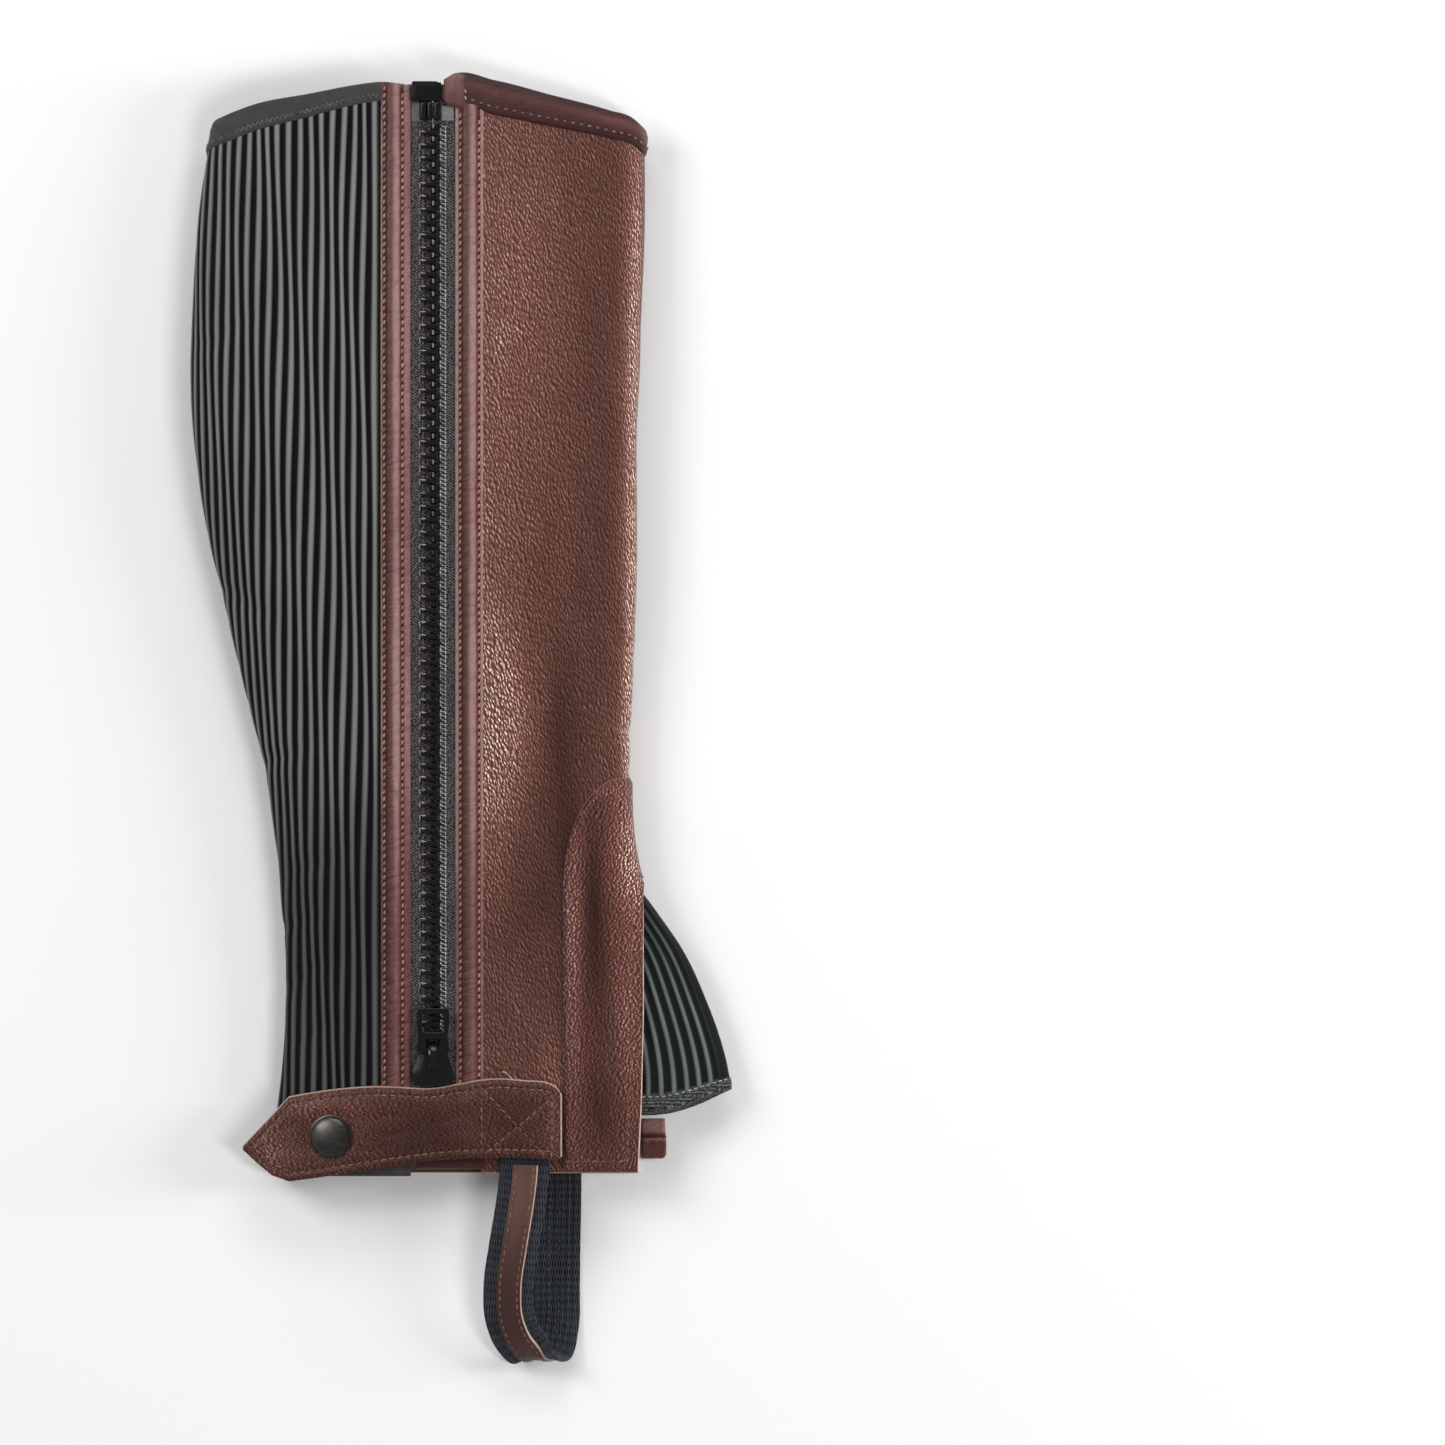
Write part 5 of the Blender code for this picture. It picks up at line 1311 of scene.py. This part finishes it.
# leather binding over the top edge
def makeTopBinding():
    # a folded strip between the rim and its lower line, puffed by its creases and sunk along the sewing
    p = topBinding
    share = np.linspace(0, 1, 240)
    arc = p["start"] + (underSeam(np.full(1, 395.0), 1)[0] - p["start"]) * share
    high, low = rim(arc), underTopBinding(arc)
    free = lifted(arc, low + 5)[:, None]
    groove = [((p["stitchUp"] / (high - low))[:, None], 0.34, 0.06)]
    rings, height, level, outside, rise = bindingRings(arc, low, high, p["out"], p["inside"], 0.55, groove, 30)
    level = np.where(level > 0, np.maximum(level + creases(rings, rise * 10, p["puffs"]) * outside, 0) * free, level)
    # the crown attribute paints a highlight along the binding's outside, stronger past arc 50, and leaves its inside in
    # the painted shade of the edge colour
    crown = outside * (np.sin(math.pi * np.clip((rise - 0.3) / 0.6, 0, 1)) * 0.8) * (0.6 + 0.4 * ease(rings, 50, 70))
    made = strip("topBindingLeather", rings, height, level, outside, bindingLeather, crown)
    cloth(made, "binding_leather", ["top_binding_leather"], (205, 12), None)
    flapStart, flapEnd = p["flapTop"][0][0], p["flapTop"][-1][0]
    run = np.linspace(flapEnd + 1, arc[-1] - 1, 900)
    height = underTopBinding(run) + p["stitchUp"]
    run, height = (v[levelOf(run, height) > 1.5] for v in (run, height))
    sewOnTube(bindingThread, run, height, (p["out"] + 0.42) * lifted(run, height), **p["stitch"])
    # the binding's end, folded over itself beside the zip
    a, r = np.meshgrid(np.linspace(0, 1, 30), np.linspace(0, 1, 34))
    arcFlap = flapStart + (flapEnd - flapStart) * a
    foot = readRows(p["flapFoot"], arcFlap)
    heightFlap = foot + (readRows(p["flapTop"], arcFlap) - foot) * r
    edge = np.minimum(np.minimum(a, 1 - a) * 8.9, np.minimum(r, 1 - r) * 12)
    lift = p["flapLift"] + 0.55 * np.sin(math.pi * a) * np.sin(math.pi * r) - 0.9 * (1 - ease(edge, 0, 1.3))
    lift = lift - 0.35 * bump(a, 0.62, 0.05) * ease(r, 0.35, 0.9)
    made = wall("bindingFlap", arcFlap, heightFlap, lift, np.minimum(lift - 0.5, 1.35), [flapLeather], None,
                {"crown": 0.5 + 0.4 * np.sin(math.pi * a) * r})
    cloth(made, "binding_leather", [], (9, 11), None)
    sewOnTube(paleThread, flapEnd - 0.15, np.linspace(*p["flapSewn"], 40), 1.15, **p["flapStitch"])


makeTopBinding()
print("top binding done")


# gusset over the instep
gusset = {
    "ribs": 9, "perRib": 10, "pitch": (5.25, 3.9), "out": -2.9, "rise": 0.8, "top": 112.0, "hem": (21.9, 31.6),
    "binding": (8.6, 5.4), "rows": 60, "thick": 1.4, "plain": (1.3, 2.1),
    "grooves": [(at, 0.3, 0.04) for at in (0.2, 0.38, 0.56, 0.74)], "sewnAt": 0.82,
    "stitch": {"pitch": 2.6, "long": 1.7, "wide": 0.5, "high": 0.3, "slant": 0},
}


def gussetLine(share, key):
    # along the hem: the first value at both ends, the second at the fold
    first, last = gusset[key]
    return last + (first - last) * ease(np.abs(2 * share - 1), 0, 0.8)


def gussetArc(share, height):
    # the fold's arc plus or minus the ribs, whose pitch runs evenly from the hem to the top
    pitch = np.interp(height, (gusset["hem"][0], gusset["top"]), gusset["pitch"])
    return atHeight(foldArcs, height) + (2 * share - 1) * gusset["ribs"] * pitch


def makeGusset():
    # ribs by their phase along the share, smooth at the fold, with a folded strip along the hem
    p = gusset
    count = 2 * p["ribs"] * p["perRib"]
    share = np.arange(count + 1) / count
    spread, height = gridUp(share, gussetLine(share, "hem") + gussetLine(share, "binding") - 1.2, p["top"], p["rows"])
    arc = gussetArc(spread, height)
    crest = np.broadcast_to(ribShape(np.arange(count + 1) / p["perRib"]), height.shape)
    plain = ease(np.abs(2 * share - 1) * p["ribs"], *p["plain"])  # the fold itself is smooth
    crest = crest * plain + 0.55 * (1 - plain)
    free = ease(levelOf(arc, height) - p["out"], 0.5, 5)
    wave = 0.25 * np.sin(height / 9 + share * 40) * free
    out = p["out"] + p["rise"] * 1.15 * crest - 0.1 + wave * 0.4
    light = np.clip(0.15 + 0.85 * (1 - ease(height, 60, 105)) + 0.12 * np.sin(height / 6 + share * 50), 0, 1)
    made = wall("gussetCloth", arc, height, out, p["out"] - p["thick"], [gussetRibs, elasticInside, blackBraid], None,
                {"crest": crest, "light": light * np.ones(arc.shape)}, 80)
    cloth(made, "elastic", ["gusset"], (95, 90), 6000)
    share = np.linspace(0, 1, 110)
    low, high = gussetLine(share, "hem"), gussetLine(share, "hem") + gussetLine(share, "binding")
    rings, height, level, outside, rise = bindingRings(share, low, high, p["out"] + 0.7, p["out"] - p["thick"] - 0.4,
                                                       0.2, p["grooves"], 34)
    made = strip("gussetBinding", gussetArc(rings, height), height, level, outside, gussetBraid)
    cloth(made, "black_braid", ["gusset_binding"], (88, 7), None)
    run = np.linspace(0.02, 0.98, 400)
    up = gussetLine(run, "hem") + gussetLine(run, "binding") * p["sewnAt"]
    sewOnTube(chainThread, gussetArc(run, up), up, p["out"] + 0.9, **p["stitch"])


makeGusset()
print("gusset done")


# hem pieces
hem = {
    "piece": {"across": (-6.4, 19.4), "height": (1.4, 9.0), "out": 0.9},
    "tab": {"across": (80.2, 89.7), "height": (5.0, 20.4), "thick": 2.8, "fold": 13.7, "sewnAt": 11.6,
            "sunk": [(13.7, 0.6, 0.95), (11.5, 0.6, 0.3)], "step": 0.35,  # height, width and depth
            # a painted highlight just below the fold and painted shade in its crease: height, width and amount
            "paintedLightAndShade": [(12.6, 0.6, 0.35), (13.7, 0.7, -0.3)],
            "stitch": {"pitch": 2.9, "long": 2.1, "wide": 0.5, "high": 0.25, "slant": 0}},
}


def makeHemPieces():
    # the piece is a folded strip; the tab is a squared ring carried across, creased where it folds
    p = hem["piece"]
    low, high = (np.full(40, level) for level in p["height"])
    arc, height, level, outside, rise = bindingRings(np.linspace(*p["across"], 40), low, high, p["out"],
                                                     -leather["thick"], 0.3, [(0.35, 0.2, 0.08)])
    # a crown of 0.12 leaves this piece under the strap mostly in the painted shade of the edge colour
    made = tubeMesh("hemPiece", surfacePoint(arc, height, level), flatGrid(arc, height), [bindingLeather],
                    {"crown": outside * 0.12})
    cloth(made, "smooth_leather", ["hem_piece_leather"], (26, 8.5), None)
    t = hem["tab"]
    (x0, x1), (foot, head), crease = t["across"], t["height"], t["fold"]
    u = np.linspace(0, 1, 24)
    turn = np.linspace(0, 2 * math.pi, 100, endpoint=False)
    c = np.cos(turn)
    s = np.sign(np.sin(turn)) * np.clip(1 - c ** 6, 0, 1) ** 0.4
    y = (foot + head) / 2 + (head - foot) / 2 * c
    lift = 2.0 * (1 - np.sqrt(1 - np.clip((u - 0.8) / 0.2, 0, 0.98) ** 2))[:, None]  # its low corner is cut round
    y = y[None] + lift * np.clip((12 - y) / 7, 0, 1)[None]
    ends = 1 - 0.35 * (1 - ease(u, 0, 0.06))[:, None] - 0.35 * (1 - ease(1 - u, 0, 0.08))[:, None]
    z = t["thick"] / 2 + (t["thick"] / 2 * s)[None] * ends
    fold = sum(deep * bump(y, at, wide) for at, wide, deep in t["sunk"]) + t["step"] * ease(y, crease, crease + 0.8)
    z = z - np.clip(s, 0, 1)[None] * fold
    x = x0 + (x1 - x0) * u[:, None] + 0 * z - 0.5 * (y > 14) * u[:, None]
    # the crown attribute: lighter above the fold, with the painted highlight and the painted shade of the crease
    lightness = 0.55 + 0.3 * ease(y, 14, 16) + sum(size * bump(y, at, wide) for at, wide, size in t["paintedLightAndShade"])
    made = tubeMesh("innerHemTab", np.stack([x, y, z], -1), flatGrid(x, y + 20 * (s < 0)), [bandLeather],
                    {"crown": lightness})
    cloth(made, "smooth_leather", ["inner_hem_tab"], (9.5, 17), None)
    run = np.linspace(x0 + 0.5, x1 - 0.4, 20)
    line = np.stack([run, np.full(20, t["sewnAt"]), np.full(20, t["thick"] - 0.12)], 1)
    sewRow(strapThread, line, np.tile((0.0, 0.0, 1.0), (20, 1)), **t["stitch"])


makeHemPieces()
print("hem pieces done")


# closure strap and its snap
strap = {
    "rows": [  # across, lower edge, upper edge
        (-73.2, 8.6, 9.8), (-67.5, 3.3, 15.8), (-62, -1.2, 21.6), (-55.4, -3.5, 28.7), (-46, -2.3, 30.4),
        (-38.9, -1.2, 31.4), (-30, 0.2, 32.3), (-21.6, 1.5, 32.7), (-12, 2.9, 32.4), (-2, 4.2, 31.9), (9.6, 5.2, 33.6),
        (18, 5.6, 35.2), (26, 5.8, 35.7), (35.4, 5.6, 35), (45, 5.1, 33.8), (49.1, 4.7, 31.6)],
    "point": 3,  # the row at which the pointed end begins
    "thick": 2.8, "lift": 1.7, "baseLift": 1.5, "base": (8.0, 20.0), "leaves": -48.0, "slope": 0.16,
    "levelHeight": 15.0, "columns": 170, "rowsUp": 52, "slack": (0.2, 6.0, 0.9), "cornerRound": 2.6,
    # painted light and shade: across, height, half widths, amount
    "paintedLightAndShade": [(-62, 8, 8, 12, 0.6), (-48, 26, 12, 6, 0.4), (-30, 26, 12, 8, 0.25), (-4, 14, 18, 12, -0.4),
              (32, 18, 12, 12, -0.2), (46, 18, 3, 14, 0.4)],
    "round": (0.75, 1.7), "pad": (7.0, 3.0, 0.35),  # fall at the edge and its reach; place, width and height
    "sewn": (0.38, 0.6), "crossSewn": (0.36, 0.7), "pressed": (0.6, 1.4, 0.25),  # depth and width; round the cap
    "stitchIn": 3.0, "stitch": {"pitch": 3.2, "long": 2.3, "wide": 0.55, "high": 0.3, "slant": 6},
    "cross": [((18.7, 32), (18.7, 7.6)), ((45.6, 30.6), (45.6, 6.2)), ((19.4, 31.8), (43.6, 6.0)),
              ((20.6, 7.8), (46.2, 28.8))],
    "tipStitches": [(-61.2, 18.0), (-68.9, 9.2), (-62.4, 3.6), (-55.0, 0.0)],
    "looseThread": [(26.6, 38.6, 0), (30.6, 36.6, 0)],
    "creases": [
        (-30, 8, -14, 10, 1.1, -0.28), (-24, 14, -6, 16, 1.0, -0.25), (-28, 20, -10, 22, 1.2, -0.28),
        (-18, 26, -2, 25, 1.1, -0.22), (-64, 6, -54, 10, 1.0, -0.25), (-62, 14, -52, 20, 1.1, -0.25),
        (-50, 3, -44, 5, 1.1, -0.25), (-8, 9, 12, 11, 1.3, -0.3), (-4, 19, 14, 21, 1.3, -0.3),
        (2, 28, 15, 29, 1.2, -0.2), (-27, 16, -19, 13, 0.9, 0.25)],
}
snap = {
    "at": (-39.3, 13.9), "radius": 8.3, "rise": 3.2, "rim": 0.8, "gap": 0.4,
    "edge": [(-1.2, 0.0), (-0.15, 0.0), (0.0, 0.18), (0.0, 0.5), (-0.12, 0.68), (-0.5, 0.8)],  # from the radius, level
}


def strapEdge(across, which):
    # straight along the pointed end, smooth along the rest
    rows, begin = np.array(strap["rows"]), strap["rows"][strap["point"]][0]
    curved = readRows(rows[strap["point"]:], np.maximum(across, begin), which)
    return np.where(across < begin, np.interp(across, rows[:, 0], rows[:, which]), curved)


def strapLevel(across):
    # the tube's upper side plus the lift, a step up over the sewn base, and a straight slope past the calf
    near = np.maximum(across, strap["leaves"])
    level = topLevel(near, np.full(np.shape(near), strap["levelHeight"])) + strap["lift"]
    level = level + strap["baseLift"] * ease(across, *strap["base"])
    return level - strap["slope"] * (near - across)


def lineDistance(x, y, start, end):
    # distance to the nearest point of a straight line between two ends
    (ax, ay), (bx, by) = start, end
    part = np.clip(((x - ax) * (bx - ax) + (y - ay) * (by - ay)) / ((bx - ax) ** 2 + (by - ay) ** 2), 0, 1)
    return np.hypot(x - ax - part * (bx - ax), y - ay - part * (by - ay))


def strapTop(across, height):
    # level of the upper face: rounded edges, a sunk row inside them, the boxed cross and fine creases
    p = strap
    edge = np.minimum(height - strapEdge(across, 1), strapEdge(across, 2) - height)
    edge = np.minimum(edge, p["rows"][-1][0] - across)
    (fall, reach), (deep, narrow), (at, wide, high) = p["round"], p["sewn"], p["pad"]
    face = high * bump(edge, at, wide) - fall * (1 - ease(edge, 0, reach)) - deep * bump(edge, p["stitchIn"], narrow)
    deep, narrow = p["crossSewn"]
    for start, end in p["cross"]:
        face = face - deep * bump(lineDistance(across, height, start, end), 0, narrow)
    face = face + creases(across, height, p["creases"]) + ripple(across, height, *p["slack"])
    past, wide, deep = p["pressed"]
    around = np.hypot(across - snap["at"][0], height - snap["at"][1])
    return strapLevel(across) + p["thick"] + face - deep * bump(around, snap["radius"] + past, wide)


def makeStrap():
    # a grid between both edges, its rows crowded towards them by a cosine, and a wall down to the strap's level
    p = strap
    first, last = p["rows"][0][0], p["rows"][-1][0]
    line = np.linspace(first, last, p["columns"] + 1)
    line = np.sort(np.concatenate([line, [p["rows"][p["point"]][0]], last - np.array([0.25, 0.6, 1.0])]))
    rise = np.linspace(0, math.pi, p["rowsUp"] + 1)
    rise = 0.5 - 0.5 * np.cos(rise) * (1 - 0.35 * np.sin(rise) ** 2)
    # the sewn end has slightly round corners
    corner = p["cornerRound"] * (1 - np.sqrt(1 - np.clip(1 - (last - line) / p["cornerRound"], 0, 1) ** 2))
    low, high = strapEdge(line, 1) + corner * 0.6, strapEdge(line, 2) - corner * 0.8
    across, height = np.broadcast_arrays(line, low + (high - low) * rise[:, None])
    outer = np.stack([across, height, strapTop(across, height)], -1)
    spreadUp, spreadOut = 0.55 * bump(rise, 1, 0.08)[:, None], 0.55 * (line > last - 0.01)
    inner = np.stack([across + spreadOut, height + spreadUp, strapLevel(across)], -1)
    # the tone attribute carries the painted light and shade
    made = shellMesh("closureStrap", outer, inner, flatGrid(across, height), [strapLeather, suede, rawEdge], None,
                     {"tone": patches(across, height, p["paintedLightAndShade"])})
    cloth(made, "pebbled_leather", ["strap"], (124, 36), 3900)
    # sewing along both edges, round the tip, across the end and over the boxed cross
    inset, tip = p["stitchIn"], p["tipStitches"]
    run = np.linspace(tip[-1][0], last - inset, 400)
    rows = [np.stack([run, strapEdge(run, 1) + inset], 1), np.stack([run, strapEdge(run, 2) - inset], 1),
            [(tip[-1][0] + 0.1, strapEdge(tip[-1][0] + 0.1, 2) - inset), *tip],
            [(last - inset, 8.4), (last - inset, 30.6)], *p["cross"]]
    for row in rows:
        row = np.array(row, float)
        length = runOf(row)
        at = np.linspace(0, length[-1], 300)
        x, y = np.interp(at, length, row[:, 0]), np.interp(at, length, row[:, 1])
        tilt = np.stack([-(strapTop(x + 0.5, y) - strapTop(x - 0.5, y)) * 0.3, 0 * x, np.ones(300)], 1)
        sewRow(strapThread, np.stack([x, y, strapTop(x, y) + 0.14], 1), tilt, **p["stitch"])
    # the loose end of thread above the strap: a round tube along a slight wave
    t = np.linspace(0, 1, 24)[:, None]
    start, end = np.array(p["looseThread"])
    path = start * (1 - t) + end * t
    path[:, 1] += 0.5 * np.sin(t[:, 0] * 5)
    path[:, 2] = topLevel(path[:, 0], path[:, 1]) + 0.9 + 0.5 * np.sin(math.pi * t[:, 0])
    turn = np.arange(6) * math.pi / 3
    rings = path[:, None] + 0.24 * np.stack([0 * turn, np.cos(turn), np.sin(turn)], 1)[None]
    dress(tubeMesh("looseThread", rings, rings[..., :2], [paleThread]), "chap", "pebbled_leather")


def makeSnap():
    # a turned profile, a rim and then a dome of height sin^0.9, tilted to the strap
    p = snap
    (middle, height), radius = p["at"], p["radius"]
    t = np.linspace(0, math.pi / 2, 16)[1:-1]
    dome = p["rim"] + (p["rise"] - p["rim"]) * np.sin(t) ** 0.9
    profile = np.concatenate([np.array(p["edge"]) + (radius, 0), np.stack([(radius - 0.7) * np.cos(t), dome], 1)])
    turn = np.linspace(0, 2 * math.pi, 56, endpoint=False)
    x, y = profile[:, :1] * np.cos(turn), profile[:, :1] * np.sin(turn)
    z = np.broadcast_to(profile[:, 1:], x.shape)
    calf, under, shin = (float(strapLevel(np.array(middle + away))) for away in (-radius / 2, 0, radius / 2))
    tilt = math.atan((shin - calf) / radius)
    points = np.stack([x * math.cos(tilt) - z * math.sin(tilt) + middle, y + height,
                       x * math.sin(tilt) + z * math.cos(tilt) + under + strap["thick"] + p["gap"]], -1)
    dress(tubeMesh("snapCap", points, flatGrid(x, y), [gunmetal], None, 30), "chap", "gunmetal", "snap_cap")


makeStrap()
makeSnap()
print("strap and snap done")


# foot loop
loop = {
    "rows": [  # across, height, level of the centre line
        (35.4, 12, 25.2), (35.2, 0, 25.1), (33.8, -12, 24.3), (31.2, -28, 22.6), (29, -44, 20), (29.6, -56, 16.8),
        (33.5, -65, 13), (39.5, -70, 8.6), (44, -68.5, 4.7), (46.3, -60, 2), (46.8, -44, 1.2), (47, -28, 1.2),
        (47.3, -14, 1.2), (47.4, -7, 1.9), (47.4, -1.5, 3.2), (47.4, 12, 3.2)],
    "half": 9.6, "thick": 2.0, "clear": 0.2, "steps": 170, "ribPitch": 2.4, "ribHigh": 0.16, "look": 0.004,
    "stripHalf": 4.6, "stripGap": 0.4, "stripThick": 1.3, "stripEnds": (0.052, 0.54), "stripRows": (-3.3, 3.3),
    "stripStitch": {"pitch": 3.0, "long": 2.1, "wide": 0.5, "high": 0.26, "slant": 0},
    "farEnds": (0.56, 0.93), "farRows": (-2.6, 1.4, 5.0),
    "farStitch": {"pitch": 2.7, "long": 1.2, "wide": 0.4, "high": 0.2, "slant": 0},
}


def loopFrame(at):
    # centre line through the table's points, its width direction and the way its inner face looks
    rows = np.array(loop["rows"], float)
    run = runOf(rows)

    def read(share):
        return np.stack([smoothRead(run, rows[:, k], np.clip(share, 0, 1) * run[-1]) for k in range(3)], 1)

    points, along = read(at), unit(read(at + loop["look"]) - read(at - loop["look"]))
    wide = unit(np.array((1.0, 0, 0)) - along[:, :1] * along)
    up = np.cross(wide, along)
    lowest = points[:, 2] - loop["half"] * np.abs(wide[:, 2]) - loop["thick"] / 2 * np.abs(up[:, 2])
    points[:, 2] += np.maximum(loop["clear"] - lowest, 0)
    return points, wide, up, at * run[-1]


def makeFootLoop():
    # bands carried along the loop's line: side to side on its width direction, their faces moved along its up direction
    p = loop
    points, wide, up, run = loopFrame(np.linspace(0, 1, p["steps"]))
    side = np.linspace(-p["half"], p["half"], 61)
    edge = p["half"] - np.abs(side)
    ribs = p["ribHigh"] * np.cos(side * 2 * math.pi / p["ribPitch"]) * (edge > 0.8) - 0.5 * (1 - ease(edge, 0, 0.9))
    flat = points[:, None] + side[None, :, None] * wide[:, None]
    half = p["thick"] / 2 + ribs[None, :, None] - 0.12
    made = shellMesh("footLoop", flat - up[:, None] * half, flat + up[:, None] * half,
                     flatGrid(side[None], run[:, None]), [loopElastic])
    cloth(made, "elastic", ["foot_loop"], (19.2, 175), None)
    points, wide, up, run = loopFrame(np.linspace(*p["stripEnds"], 90))
    side = np.linspace(-p["stripHalf"], p["stripHalf"], 25)
    flat = points[:, None] + side[None, :, None] * wide[:, None]
    edge = p["stripHalf"] - np.abs(side)
    top = p["thick"] / 2 + p["stripGap"] + p["stripThick"]
    top = (top - 0.4 * (1 - ease(edge, 0, 0.7)) - 0.25 * bump(edge, 1.3, 0.4))[None, :, None]
    top = top + 0.08 * np.sin(run / 2.1)[:, None, None]
    low = p["thick"] / 2 + p["stripGap"] * 0.6
    right = 0.45 * (np.arange(25) == 24)[None, :, None]
    made = shellMesh("loopStrip", flat - up[:, None] * top, flat - up[:, None] * low + wide[:, None] * right,
                     flatGrid(side[None], run[:, None]), [stripLeather, suede, rawEdge], None,
                     {"crown": 0.5 + 0.35 * np.sin(run / 14)[:, None] + 0 * side})
    cloth(made, "pebbled_leather", ["loop_strip"], (9.2, 72), None)
    for across in p["stripRows"]:
        sewRow(strapThread, points + across * wide - up * (float(top[0, 12, 0]) - 0.1), -up, **p["stripStitch"])
    # rows of thread show on the inner face of the far leg
    points, wide, up, run = loopFrame(np.linspace(*p["farEnds"], 200))
    for across in p["farRows"]:
        sewRow(tapeThread, points + across * wide + up * (p["thick"] / 2 + 0.02), up, phase=0.3 + 0.1 * across,
               **p["farStitch"])


makeFootLoop()
print("foot loop done")


# all the stitching, one piece for each thread or hole, in the finish of its thread or hole
threadSlots = {"band_thread": "smooth_leather", "strap_thread": "pebbled_leather", "braid_thread": "black_braid",
               "tape_thread": "zip_tape", "pale_thread": "binding_leather",
               "needle_hole": "smooth_leather", "chain_thread": "zip_tape", "binding_thread": "binding_leather"}
for thread, rows in stitchRows.items():
    spots, axes = (np.concatenate([row[k] for row in rows]) for k in (0, 1))
    piece = joinMeshes(thread.name.split("_")[0] + "Stitches", [scatter(stitchForm, spots, axes)], thread, 180)
    dress(piece, "chap", threadSlots[thread.name])
    print(piece.name, len(spots), "stitches")


# floor, light and camera
studio = {
    "floor": 8.0, "floorLevel": -0.0002, "floorColour": paint(249, 249, 249), "world": 0.24,
    "lights": [  # name, place, aimed at, width, length, power, whether glossy surfaces mirror it
        ("highLeft", (-1.5, 0.9, 1.7), (0, 0, 0), 0.9, 1.2, 25, True),
        ("lowRight", (1.9, 0.1, 0.36), (0.05, 0, 0.02), 0.3, 1.8, 36, False),
        ("farSide", (0.2, 2.0, 1.5), (0, 0, 0), 1.6, 0.7, 16, True),
        ("nearRight", (0.95, -0.5, 2.3), (0, 0, 0), 0.3, 0.9, 15, False),
    ],
    "cameraUp": 12.0, "frameWide": 0.5563, "frameCentre": (0.1005, -0.0013), "frameLevel": 0.013,
}


def makeStudio():
    # a square floor just under the object, the lamps, each turned from its place to what it is aimed at, and a camera
    # high above, whose lens takes in the frame's width: 36 mm * distance / width
    p = studio
    mesh = bpy.data.meshes.new("floor")
    s = p["floor"]
    mesh.from_pydata([(x, y, p["floorLevel"]) for x, y in ((-s, -s), (s, -s), (s, s), (-s, s))], [], [(0, 1, 2, 3)])
    f, colour = Finish("floor_paper", Roughness=0.9, Specular_IOR_Level=0.2), p["floorColour"]
    grain = f.noise(f.solid(30.0), 2.0)
    mesh.materials.append(f.finish(f.mix(grain * 0.2, colour, (*(c * 0.98 for c in colour[:3]), 1.0))))
    floor = bpy.data.objects.new("floor", mesh)
    bpy.context.scene.collection.objects.link(floor)
    for name, spot, aim, wide, long, power, mirrored in p["lights"]:
        data = bpy.data.lights.new(name, "AREA")
        data.shape, data.size, data.size_y, data.energy = "RECTANGLE", wide, long, power
        lamp = bpy.data.objects.new(name, data)
        bpy.context.scene.collection.objects.link(lamp)
        x, y, z = np.array(spot, float) - np.array(aim, float)
        lamp.location = spot
        lamp.rotation_euler = (math.atan2(math.hypot(x, y), z), 0, math.atan2(y, x) + math.pi / 2)
        lamp.visible_camera = False
        lamp.visible_glossy = mirrored
    world = bpy.data.worlds.new("studio")
    world.use_nodes = True
    sky = world.node_tree.nodes["Background"].inputs
    sky["Color"].default_value = (1, 1, 1, 1)
    sky["Strength"].default_value = p["world"]
    bpy.context.scene.world = world
    data = bpy.data.cameras.new("camera")
    data.lens = 36 * (p["cameraUp"] - p["frameLevel"]) / p["frameWide"]
    data.clip_end = 30
    camera = bpy.data.objects.new("camera", data)
    camera.location = (*p["frameCentre"], p["cameraUp"])
    bpy.context.scene.collection.objects.link(camera)
    bpy.context.scene.camera = camera
    bpy.context.scene.view_settings.view_transform = "Standard"
    bpy.context.scene.view_settings.look = "None"


makeStudio()
